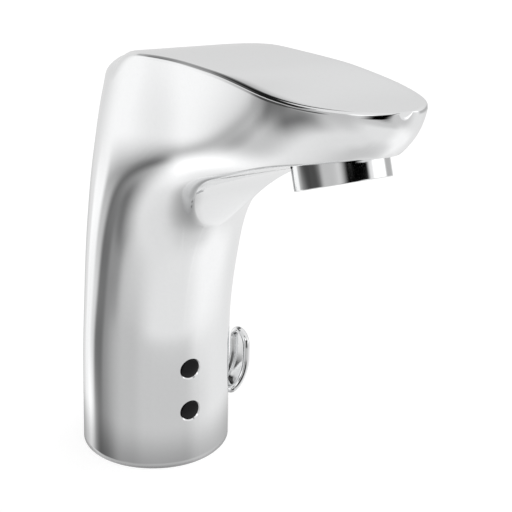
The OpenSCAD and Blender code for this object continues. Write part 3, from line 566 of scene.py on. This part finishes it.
# Depths at which an eye's cutter ends, and from which its rim is looked for
SOCKET_BACK = -14.0
SOCKET_FRONT = -30.0
LOOK_FROM = -60.0

# Degrees from which a crease of the cut casting stays sharp
SKIN_CREASE = 38

# What still counts as skin once the casting is cut: its gap in metres, its facing, and its height
# in metres
SKIN_GAP = 2e-5
SKIN_FACING = 0.8
SKIN_LOWEST = 1e-5


def eye_socket(name, height, skin):
    """A cutter for an eye's hole, with a narrow rim that follows the column's skin."""
    rings = []
    for r, sunk in ((EYE_R, None), (EYE_R, EYE_RIM), (EYE_R + EYE_RIM, 0), (EYE_R + 2 * EYE_RIM, -EYE_RIM)):
        ring = []
        for k in range(ROUND_SIDES):
            angle = 2 * math.pi * k / ROUND_SIDES
            x = r * math.cos(angle)
            z = height + r * math.sin(angle)
            hit = skin.ray_cast(Vector((x, LOOK_FROM, z)) * MM, Vector((0, 1, 0)))[0]
            y = SOCKET_BACK if sunk is None else hit.y / MM + sunk
            ring.append((x, y, z))
        rings.append(ring)
    rings.append([(x, SOCKET_FRONT, z) for x, y, z in rings[-1]])
    return skinned(name, rings, 0)


def keep_skin_shading(piece, whole, places, normals, faces):
    """Shades what is left of the casting's skin as the uncut skin was shaded."""
    mesh = piece.data
    mesh.shade_smooth()
    mesh.set_sharp_from_angle(angle=math.radians(SKIN_CREASE))
    custom = [tuple(corner.vector) for corner in mesh.corner_normals]
    for face in mesh.polygons:
        _, normal, _, gap = whole.find_nearest(face.center)
        if gap > SKIN_GAP or normal.dot(face.normal) < SKIN_FACING or face.center.z < SKIN_LOWEST:
            continue
        for corner in face.loop_indices:
            spot = mesh.vertices[mesh.loops[corner].vertex_index].co
            index = whole.find_nearest(spot)[2]
            blend = Vector((0, 0, 0))
            for v in faces[index]:
                blend += normals[v] / ((places[v] - spot).length + 1e-7)
            custom[corner] = tuple(blend.normalized())
    mesh.normals_split_custom_set(custom)


def make_casting():
    """The polished skin, with its hollow, groove, bores and eye sockets cut out."""
    sections = column_sections() + bend_sections() + spout_sections()
    skin = skinned("casting_skin", [whole_slice(right_half(section)) for section in sections], 0)
    whole = BVHTree.FromObject(skin, bpy.context.evaluated_depsgraph_get())
    places = [v.co.copy() for v in skin.data.vertices]
    normals = [v.normal.copy() for v in skin.data.vertices]
    faces = [tuple(p.vertices) for p in skin.data.polygons]
    hollow_end = FACE[0] + OUTLET_BORE_R + 2 * WALL
    hollow = [hollow_slice(s) for s in sections[::2] if s[0][0] > hollow_end]
    hollow.insert(0, [(x, y, -OVERRUN) for x, y, z in hollow[0]])
    groove = [
        (GROOVE_IN_R, -OVERRUN),
        (GROOVE_OUT_R, -OVERRUN),
        (GROOVE_OUT_R, GROOVE_H),
        (GROOVE_IN_R, GROOVE_H),
    ]
    cutters = [
        skinned("hollow", hollow, 0),
        turned("gasket_groove", groove, sides=FINE_SIDES),
        drill("outlet_bore", OUTLET_BORE_R, -OVERRUN, SLEEVE_DROP + OUTLET_BORE_H, AT_OUTLET),
        drill("sleeve_seat", SLEEVE_R + SLIDE_GAP, -OVERRUN, SLEEVE_DROP + SLIDE_GAP, AT_OUTLET),
        drill("lever_hole", LEVER_HOLE_R, LEVER_HOLE_START, BASE_R + OVERRUN, AT_LEVER),
    ]
    for name, height in EYES.items():
        cutters.append(eye_socket(name + "_socket", height, whole))
    cut(skin, cutters)
    keep_skin_shading(skin, whole, places, normals, faces)
    return skin


# The lever
NECK_R = 2.8
NECK_START = 25.35
NECK_END = 28.0
SLOPE_RUN = 0.5

# Where the dish starts and how far it takes to get deep, from the edge and from the foot
DISH_START = 1.45
DISH_RUN = 1.35
DISH_FOOT = 1.5
DISH_FOOT_RUN = 3.0

# How far in from the edge the rings of the outer and of the inner face lie
OUTER_INSETS = (PADDLE_R, 4.6, 3.6, 2.8, 2.0)
INNER_INSETS = (1.6, 1.85, 2.1, 2.35, 2.6, 2.85, 3.2, 3.8, 4.6, PADDLE_R)

# Points of a ring and of the lever's line
ARCH_POINTS = 33
STRAIGHT_POINTS = 31
CORNER_POINTS = 9
FOOT_POINTS = 7
BEND_POINTS = 40


def lever_line():
    """The lever's outer face from the column out and up, as (run, x, z)."""
    line = [(PADDLE_IN, PADDLE_LOW)]
    for a in np.linspace(0, math.pi / 2, BEND_POINTS):
        x = PADDLE_IN + PADDLE_FLAT + (PADDLE_OUT - PADDLE_IN - PADDLE_FLAT) * math.sin(a)
        line.append((x, PADDLE_LOW + PADDLE_BEND * (1 - math.cos(a))))
    line.append((PADDLE_OUT, PADDLE_TOP))
    points = np.array(line)
    runs = np.concatenate([[0], np.cumsum(np.linalg.norm(np.diff(points, axis=0), axis=1))])
    return np.column_stack([runs, points])


LEVER_LINE = lever_line()
LEVER_RUN = LEVER_LINE[-1, 0]


def on_lever(run, y, depth):
    """A place on the bent lever, depth mm in from its outer face."""

    def at(along):
        x = float(np.interp(along, LEVER_LINE[:, 0], LEVER_LINE[:, 1]))
        z = float(np.interp(along, LEVER_LINE[:, 0], LEVER_LINE[:, 2]))
        return np.array([x, z])

    here = at(run)
    way = at(min(run + SLOPE_RUN, LEVER_RUN)) - at(max(run - SLOPE_RUN, 0))
    way = way / np.linalg.norm(way)
    return (here[0] - way[1] * depth, y + LEVER_Y, here[1] + way[0] * depth)


def lever_ring(inset, depth_at):
    """A ring round the lever's face, inset mm in from its edge: top, side, foot, side."""
    wide = PADDLE_R - inset
    corner = max(PADDLE_CORNER - inset, 0)
    top = LEVER_RUN - PADDLE_R
    flat = []
    for a in np.linspace(0, math.pi, ARCH_POINTS):
        flat.append((wide * math.cos(a), top + wide * math.sin(a)))
    down = np.linspace(top, inset + corner, STRAIGHT_POINTS)
    flat += [(-wide, run) for run in down[1:]]
    for a in np.linspace(math.pi, 1.5 * math.pi, CORNER_POINTS)[1:]:
        flat.append((corner - wide + corner * math.cos(a), inset + corner + corner * math.sin(a)))
    flat += [(y, inset) for y in np.linspace(corner - wide, wide - corner, FOOT_POINTS)[1:-1]]
    for a in np.linspace(1.5 * math.pi, 2 * math.pi, CORNER_POINTS)[:-1]:
        flat.append((wide - corner + corner * math.cos(a), inset + corner + corner * math.sin(a)))
    flat += [(wide, run) for run in down[:0:-1]]
    return [on_lever(run, y, depth_at(run)) for y, run in flat]


def dish_share(run):
    """How far the dish has reached its depth along the lever, from its foot."""
    return float(ease((run - DISH_FOOT) / DISH_FOOT_RUN))


def make_lever():
    """A thick bent plate with a round edge and a dished inner face."""
    half = PADDLE_T / 2
    rings = []
    for inset in OUTER_INSETS:
        crown = PADDLE_CROWN * (1 - (PADDLE_R - inset) / PADDLE_R) ** 1.5
        rings.append(lever_ring(inset, lambda run: PADDLE_CROWN - crown))
    for degrees in np.linspace(-90, 90, 15):
        angle = math.radians(degrees)
        depth = PADDLE_CROWN + (half - PADDLE_CROWN / 2) * (1 + math.sin(angle))
        inset = half * (1 - math.cos(angle))
        rings.append(lever_ring(inset, lambda run: depth))
    for inset in INNER_INSETS:
        dish = PADDLE_DISH * float(ease((inset - DISH_START) / DISH_RUN))
        rings.append(lever_ring(inset, lambda run: PADDLE_T - dish * dish_share(run)))
    return skinned("lever_skin", rings, 60)


def make_neck():
    """The round stem between the column and the lever's foot."""
    outline = [
        (0.0, NECK_START),
        (NECK_R - 0.35, NECK_START),
        (NECK_R, NECK_START + 0.2),
        (NECK_R, NECK_END - 0.6),
        (NECK_R - 0.4, NECK_END - 0.1),
        (0.0, NECK_END),
    ]
    return turned("lever_neck", outline, AT_LEVER, sides=64, crease=40, closed=False)


# The outlet and the eyes
SLEEVE_TOP = SLEEVE_DROP + 0.02
SLEEVE_EDGE_R = 0.25
SPIGOT_R = 10.44
SPIGOT_TOP = 12.3
SLEEVE_BORE_R = 9.3
SLEEVE_LIP_R = 8.3
SLEEVE_LIP_T = 1.2
GLASS_R = 3.15
GLASS_EDGE = 0.05
GLASS_BACK = 19.6
GLASS_FRONT = 24.1
GLASS_CROWN = 0.3


def make_sleeve():
    """The sleeve below the nose, its spigot in the bore and the lip under the aerator."""
    outline = [
        (SLEEVE_R, 0.0),
        (SLEEVE_R, SLEEVE_TOP),
        (SPIGOT_R, SLEEVE_TOP),
        (SPIGOT_R, SPIGOT_TOP),
        (SLEEVE_BORE_R, SPIGOT_TOP),
        (SLEEVE_BORE_R, SLEEVE_LIP_T),
        (SLEEVE_LIP_R, SLEEVE_LIP_T),
        (SLEEVE_LIP_R, 0.0),
    ]
    return turned("sleeve_skin", softened(outline, SLEEVE_EDGE_R), AT_OUTLET, sides=FINE_SIDES)


def make_eye_glass(name, height):
    """A slightly crowned plug of dark glass."""
    outline = [(0.0, GLASS_BACK), (GLASS_R - GLASS_EDGE, GLASS_BACK), (GLASS_R, GLASS_BACK + GLASS_EDGE)]
    for a in np.linspace(math.pi / 2, 0, 9):
        outline.append((GLASS_R * math.sin(a), GLASS_FRONT + GLASS_CROWN * math.cos(a)))
    return turned(name, outline, at_eye(height), sides=72, crease=30, closed=False)


# The springs
SPRING_WIRE = 0.22
SPRING_TURNS = 5
STEPS_A_TURN = 24
WIRE_SIDES = 10

# Where each stands, its radius, and the heights at which its wire's middle starts and ends
SPRINGS = {
    "hot_check_coil": (8.5, 9.5, 1.3, 11.37, 15.67),
    "cold_check_coil": (-8.5, 9.5, 1.3, 11.37, 15.67),
    "plunger_coil": (0, -2.2, 2.1, 45.57, 50.19),
}


def make_spring(name):
    """A wire circle swept up in a screw."""
    x, y, r, foot, head = SPRINGS[name]
    steps = STEPS_A_TURN * SPRING_TURNS
    rise = (head - foot) * MM / steps
    bm = bmesh.new()
    start = Matrix.Translation((r * MM, 0, 0)) @ Matrix.Rotation(math.pi / 2, 4, "X")
    wire = bmesh.ops.create_circle(bm, cap_ends=False, segments=WIRE_SIDES, radius=SPRING_WIRE * MM,
                                   matrix=start)
    geometry = wire["verts"] + bm.edges[:]
    bmesh.ops.spin(bm, geom=geometry, cent=(0, 0, 0), axis=(0, 0, 1), dvec=(0, 0, rise),
                   angle=2 * math.pi * SPRING_TURNS, steps=steps, use_merge=False, use_duplicate=False)
    bmesh.ops.holes_fill(bm, edges=bm.edges, sides=0)
    bm.transform(Matrix.Translation(Vector((x, y, foot)) * MM))
    return to_piece(name, bm, 40)


# Finishes
class Value:
    """A socket of a shader, on which sums are written as sums."""

    def __init__(self, finish, socket):
        self.finish = finish
        self.socket = socket

    def math(self, operation, *values):
        return self.finish.node("Math", {"operation": operation}, dict(enumerate(values)))

    def __add__(self, other):
        return self.math("ADD", self, other)

    __radd__ = __add__

    def __sub__(self, other):
        return self.math("SUBTRACT", self, other)

    def __rsub__(self, other):
        return self.math("SUBTRACT", other, self)

    def __mul__(self, other):
        return self.math("MULTIPLY", self, other)

    __rmul__ = __mul__

    def __truediv__(self, other):
        return self.math("DIVIDE", self, other)

    def __abs__(self):
        return self.math("ABSOLUTE", self)


class Finish:
    """The nodes of one finish, each made by the same method."""

    def __init__(self, tree):
        self.tree = tree

    def node(self, kind, settings, values, out=0):
        made = self.tree.nodes.new("ShaderNode" + kind)
        for name, setting in settings.items():
            setattr(made, name, setting)
        for name, value in values.items():
            if isinstance(value, Value):
                self.tree.links.new(value.socket, made.inputs[name])
            else:
                made.inputs[name].default_value = value
        return Value(self, made.outputs[out])

    def feed(self, shader, name, value):
        self.tree.links.new(value.socket, self.tree.nodes[shader].inputs[name])

    def grain(self, scale, detail=2.0, stretch=(1, 1, 1)):
        """Fine uneven marks, about 1 / scale metres apart."""
        place = self.node("TexCoord", {}, {}, "Object")
        stretched = self.node("Mapping", {}, {"Vector": place, "Scale": stretch})
        return self.node("TexNoise", {}, {"Vector": stretched, "Scale": scale, "Detail": detail}, "Fac")

    def smooth_step(self, value):
        """Rises smoothly from nought to one as the value does."""
        return self.node("MapRange", {"interpolation_type": "SMOOTHSTEP"}, {"Value": value})

    def rise(self, value, start, end):
        """Rises smoothly from nought where the value is start to one where it is end."""
        return self.smooth_step((value - start) / (end - start))

    def shade(self, share, dark, light):
        return self.node("Mix", {"data_type": "RGBA"}, {0: share, 6: (*dark, 1), 7: (*light, 1)}, 2)

    def grey(self, level):
        return self.node("CombineXYZ", {}, {"X": level, "Y": level, "Z": level})

    def relief(self, height, strength, distance):
        bump = self.node("Bump", {}, {"Height": height, "Strength": strength, "Distance": distance})
        self.feed("Principled BSDF", "Normal", bump)


def new_finish(name, **sockets):
    """A material with the sockets that are the same all over set to plain values."""
    material = bpy.data.materials.new(name)
    material.use_nodes = True
    finish = Finish(material.node_tree)
    for socket, value in sockets.items():
        material.node_tree.nodes["Principled BSDF"].inputs[socket.replace("_", " ")].default_value = value
    return material, finish


def polished_chrome():
    """A mirror plate with a faint haze and fine wipe marks."""
    material, finish = new_finish("polished_chrome", Metallic=1.0)
    haze = finish.grain(60)
    wipe = finish.grain(900, 3)
    colour = finish.shade(wipe, (0.86, 0.865, 0.87), (0.89, 0.895, 0.9))
    finish.feed("Principled BSDF", "Roughness", 0.045 + 0.04 * haze)
    finish.feed("Principled BSDF", "Base Color", colour)
    return material


def moulded(name, dark, light, rough, scale=400, depth=0.08):
    """Moulded plastic or rubber with a fine even grain."""
    material, finish = new_finish(name)
    grain = finish.grain(scale, 3)
    finish.feed("Principled BSDF", "Base Color", finish.shade(grain, dark, light))
    finish.feed("Principled BSDF", "Roughness", rough - 0.1 + 0.2 * grain)
    finish.relief(grain, depth, 0.00005)
    return material


def machined(name, dark, light, rough, stretch):
    """Bare metal with fine turning marks."""
    material, finish = new_finish(name, Metallic=1.0)
    marks = finish.grain(6, 3, stretch)
    finish.feed("Principled BSDF", "Base Color", finish.shade(marks, dark, light))
    finish.feed("Principled BSDF", "Roughness", rough - 0.12 + 0.24 * marks)
    finish.relief(marks, 0.05, 0.00002)
    return material


def eye_window():
    """Nearly black glossy window with a faint smear."""
    material, finish = new_finish("eye_window", Specular_IOR_Level=0.22)
    smear = finish.grain(700)
    colour = finish.shade(smear, (0.003, 0.003, 0.004), (0.006, 0.005, 0.006))
    finish.feed("Principled BSDF", "Base Color", colour)
    finish.feed("Principled BSDF", "Roughness", 0.03 + 0.05 * smear)
    return material


def board_green():
    """Green board with paler copper areas under its coating."""
    material, finish = new_finish("board_green")
    weave = finish.grain(1500, 1)
    tracks = finish.smooth_step(12 * (weave - 0.48))
    colour = finish.shade(tracks, (0.01, 0.09, 0.03), (0.02, 0.16, 0.06))
    finish.feed("Principled BSDF", "Base Color", colour)
    finish.feed("Principled BSDF", "Roughness", 0.45 - 0.15 * tracks)
    finish.relief(weave, 0.2, 0.00005)
    return material


FINISHES = {
    "polished_chrome": polished_chrome(),
    "black_rubber": moulded("black_rubber", (0.012, 0.012, 0.012), (0.025, 0.025, 0.025), 0.7, 500, 0.15),
    "stainless_steel": machined("stainless_steel", (0.5, 0.5, 0.51), (0.66, 0.66, 0.67), 0.3, (40, 40, 900)),
    "cast_brass": machined("cast_brass", (0.56, 0.40, 0.16), (0.72, 0.54, 0.25), 0.32, (300, 300, 300)),
    "white_plastic": moulded("white_plastic", (0.72, 0.72, 0.69), (0.8, 0.8, 0.77), 0.45),
    "black_plastic": moulded("black_plastic", (0.014, 0.014, 0.016), (0.028, 0.028, 0.03), 0.5),
    "eye_window": eye_window(),
    "board_green": board_green(),
    "emitter_clear": moulded("emitter_clear", (0.5, 0.53, 0.58), (0.62, 0.65, 0.7), 0.2, 300, 0.02),
    "cell_wrap": moulded("cell_wrap", (0.03, 0.05, 0.14), (0.05, 0.08, 0.2), 0.25, 200, 0.03),
}

slots = {row["node"]: row["material_slot"] for row in frame["record"]["subparts"]}
for name, piece in nodes.items():
    piece.data.materials.clear()
    piece.data.materials.append(FINISHES[slots[name]])


def fit(piece, slot, body, *replaced):
    """Gives a piece its finish and its body, and the place of the solids that it stands for."""
    piece.data.materials.clear()
    piece.data.materials.append(FINISHES[slot])
    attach(piece, body)
    if replaced:
        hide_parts(*replaced)


fit(make_casting(), "polished_chrome", "tap", "body_casting")
fit(make_lever(), "polished_chrome", "lever", "temperature_lever")
fit(make_neck(), "polished_chrome", "lever")
fit(make_sleeve(), "polished_chrome", "tap", "aerator_sleeve")
for name, height in EYES.items():
    fit(make_eye_glass(name + "_eye_glass", height), "eye_window", "tap", name + "_eye_lens")

for name in ("hot", "cold"):
    spring = make_spring(name + "_check_coil")
    fit(spring, "stainless_steel", "tap", name + "_check_spring")
    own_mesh(spring)
spring = make_spring("plunger_coil")
fit(spring, "stainless_steel", "tap", "plunger_spring")
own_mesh(spring)


# Camera, as fitted to the outlines in the photo: its right, its upward way and its line of sight
RIGHT = Vector((0.84496014, -0.53415133, 0.02692069))
ABOVE = Vector((0.16704131, 0.31138591, 0.93548705))
FORWARD = Vector((0.50807437, 0.7859524, -0.35233402))
CAMERA_PLACE = Vector((-139.170, -276.140, 181.452)) * MM
camera = bpy.data.objects.new("camera", bpy.data.cameras.new("camera"))
bpy.context.scene.collection.objects.link(camera)
view_turn = Matrix((RIGHT, ABOVE, -FORWARD)).transposed().to_4x4()
camera.matrix_world = Matrix.Translation(CAMERA_PLACE) @ view_turn
camera.data.sensor_width = 36
camera.data.lens = 70.81
camera.data.clip_start = 0.01
bpy.context.scene.camera = camera

# Floor: its radius in metres, its glow, the depth of its shade, and the ring round the base over
# which the shade fades in the polish, in metres
FLOOR_R = 6
FLOOR_GLOW = 0.72
SHADE_DEPTH = 0.45
SHADE_IN_R = 0.022
SHADE_OUT_R = 0.054


def make_floor():
    """Floor that is white to the camera where no shadow falls, and isn't there from below.

    In the polish only its shade close round the base is there.
    """
    bm = bmesh.new()
    bmesh.ops.create_circle(bm, cap_ends=True, segments=64, radius=FLOOR_R)
    floor = to_piece("floor", bm, 0)
    floor_paint, paint = new_finish("floor_paint", Base_Color=(0.5, 0.5, 0.5, 1), Roughness=0.9,
                                    Specular_IOR_Level=0.0, Emission_Color=(1, 1, 1, 1))
    seen = paint.node("LightPath", {}, {}, "Is Camera Ray")
    paint.feed("Principled BSDF", "Emission Strength", FLOOR_GLOW * seen)
    place = paint.node("TexCoord", {}, {}, "Object")
    away = paint.node("VectorMath", {"operation": "LENGTH"}, {0: place}, "Value")
    mirrored = paint.node("LightPath", {}, {}, "Is Glossy Ray")
    below = paint.node("NewGeometry", {}, {}, "Backfacing")
    near = 1 - paint.rise(away, SHADE_IN_R, SHADE_OUT_R)
    shade = paint.grey(1 - SHADE_DEPTH * mirrored * near)
    dimmed = paint.node("BsdfTransparent", {}, {"Color": shade})
    hidden = mirrored.math("MAXIMUM", mirrored, below)
    painted = Value(paint, floor_paint.node_tree.nodes["Principled BSDF"].outputs[0])
    mixed = paint.node("MixShader", {}, {0: hidden, 1: painted, 2: dimmed})
    paint.feed("Material Output", "Surface", mixed)
    floor.data.materials.append(floor_paint)


make_floor()

# Side card, in metres, along BESIDE and facing along BEHIND
CARD_TURN = math.radians(37)
BESIDE = Vector((math.cos(CARD_TURN), math.sin(CARD_TURN), 0))
BEHIND = Vector((-BESIDE.y, BESIDE.x, 0))
CARD_HALF = 0.13
CARD_AWAY = 0.0532
CARD_NOSEWARD = 0.045
CARD_H = 0.15

# Brightness of the side card and of the studio where their tone is 1
STUDIO_LEVEL = 1.08


def make_side_card():
    """Card close behind the left side, seen in the polish only: dark, white, then pale at the back.

    Its tones and its soft ends are given in mm along it, and in mm above the deck.
    """
    bm = bmesh.new()
    bmesh.ops.create_grid(bm, x_segments=1, y_segments=1, size=CARD_HALF)
    stand = Matrix((BESIDE, Vector((0, 0, 1)), BEHIND)).transposed().to_4x4()
    middle = CARD_AWAY * BEHIND - CARD_NOSEWARD * BESIDE + Vector((0, 0, CARD_H))
    bm.transform(Matrix.Translation(middle) @ stand)
    card = to_piece("side_card", bm, 0)
    card_paint, cloth = new_finish("card_cloth")
    place = cloth.node("TexCoord", {}, {}, "Object")
    along = cloth.node("VectorMath", {"operation": "DOT_PRODUCT"}, {0: place, 1: BESIDE}, "Value") / MM
    height = cloth.node("SeparateXYZ", {}, {"Vector": place}, "Z") / MM
    tone = 0.06 + 0.92 * cloth.rise(along, -86, -36) - 0.28 * cloth.rise(along, -25, 25)
    lower = cloth.rise(height, 80, 104)
    upper = cloth.rise(height, 165, 145)
    ends = cloth.rise(along, -150, -135) * cloth.rise(along, 60, 35)
    lit = cloth.node("Emission", {}, {"Color": (1, 1, 1, 1), "Strength": STUDIO_LEVEL * tone})
    clear = cloth.node("BsdfTransparent", {}, {})
    hung = cloth.node("MixShader", {}, {0: lower * upper * ends, 1: clear, 2: lit})
    cloth.feed("Material Output", "Surface", hung)
    card.data.materials.append(card_paint)
    card.visible_camera = False
    card.visible_diffuse = False
    card.visible_transmission = False
    card.visible_shadow = False


make_side_card()

# Studio, of pale walls with soft-edged cards
WALLS = 0.789

# Direction and height of each card, half its width and half its height, and the softness of its sides
# and of its ends, all in degrees, and its brightness
CARDS = {
    "ground": (-3, -88, 180, 18, 4, 17, 0.59),
    "right_side": (110, -46, 36.5, 14, 24, 8.6, 0.97),
    "low_left": (-112, -61, 41, 11, 20, 13, 0.75),
    "front_low": (189, -20, 40, 13, 15, 4, 0.59),
    "left_grey": (-52, -27.5, 40, 14, 13, 11, 0.11),
    "under_white": (-28, -35, 14, 13, 15, 12, 1.25),
    "back_strip": (-17, -17, 10, 10, 4, 22, 1.12),
    "left_dark": (-87, 0.5, 30, 32.5, 30.5, 4, 0.36),
    "left_front": (-109, -7.6, 24, 35, 19, 13, 0.53),
    "white_box": (-140, 29, 18, 8, 6, 4.6, 1.23),
    "front_dark": (-166, 0, 21.6, 24, 12.4, 4, 0.0),
    "roof_dark": (-21, 36.4, 54, 16.7, 6.8, 4, 0.01),
    "roof_mid": (0.7, 24.4, 24, 6.6, 13, 9.9, 0.49),
    "leaf_light": (47, 1, 30, 16, 10.7, 15.5, 0.66),
    "back_low": (14, -22, 9.8, 11, 10.3, 7.4, 0.59),
    "right_low": (146, -16, 24, 11, 18.6, 6.5, 0.59),
    "side_shade": (-51, -24, 10, 4, 5, 5, 0.15),
    "sleeve_left": (-66, -6, 31, 9, 7, 6, 0.07),
    "sleeve_front": (173, 21, 22, 6, 6, 5, 0.0),
    "sleeve_right": (118, 10, 21, 8, 5, 5, 1.3),
    "sleeve_back": (77, -3, 19, 8, 5, 5, 0.45),
}


def make_studio():
    """The light all round, which the camera sees as plain white."""
    world = bpy.data.worlds.new("studio")
    bpy.context.scene.world = world
    world.use_nodes = True
    studio = Finish(world.node_tree)
    way = studio.node("TexCoord", {}, {}, "Generated")
    east = studio.node("SeparateXYZ", {}, {"Vector": way}, "X")
    north = studio.node("SeparateXYZ", {}, {"Vector": way}, "Y")
    up = studio.node("SeparateXYZ", {}, {"Vector": way}, "Z")
    bearing = east.math("ARCTAN2", east, north) * (180 / math.pi)
    height = up.math("ARCSINE", up) * (180 / math.pi)
    light = WALLS
    for direction, level, wide, tall, soft_side, soft_end, brightness in CARDS.values():
        aside = abs(bearing.math("WRAP", bearing - direction, 180.0, -180.0))
        above = abs(height - level)
        across = studio.rise(aside, wide + soft_side, wide - soft_side)
        along = studio.rise(above, tall + soft_end, tall - soft_end)
        light = light + (brightness - light) * (across * along)
    seen = studio.node("LightPath", {}, {}, "Is Camera Ray")
    bright = seen + (1 - seen) * (STUDIO_LEVEL * light)
    studio.feed("Background", "Color", studio.grey(bright))


make_studio()

bpy.context.scene.view_settings.view_transform = "Standard"
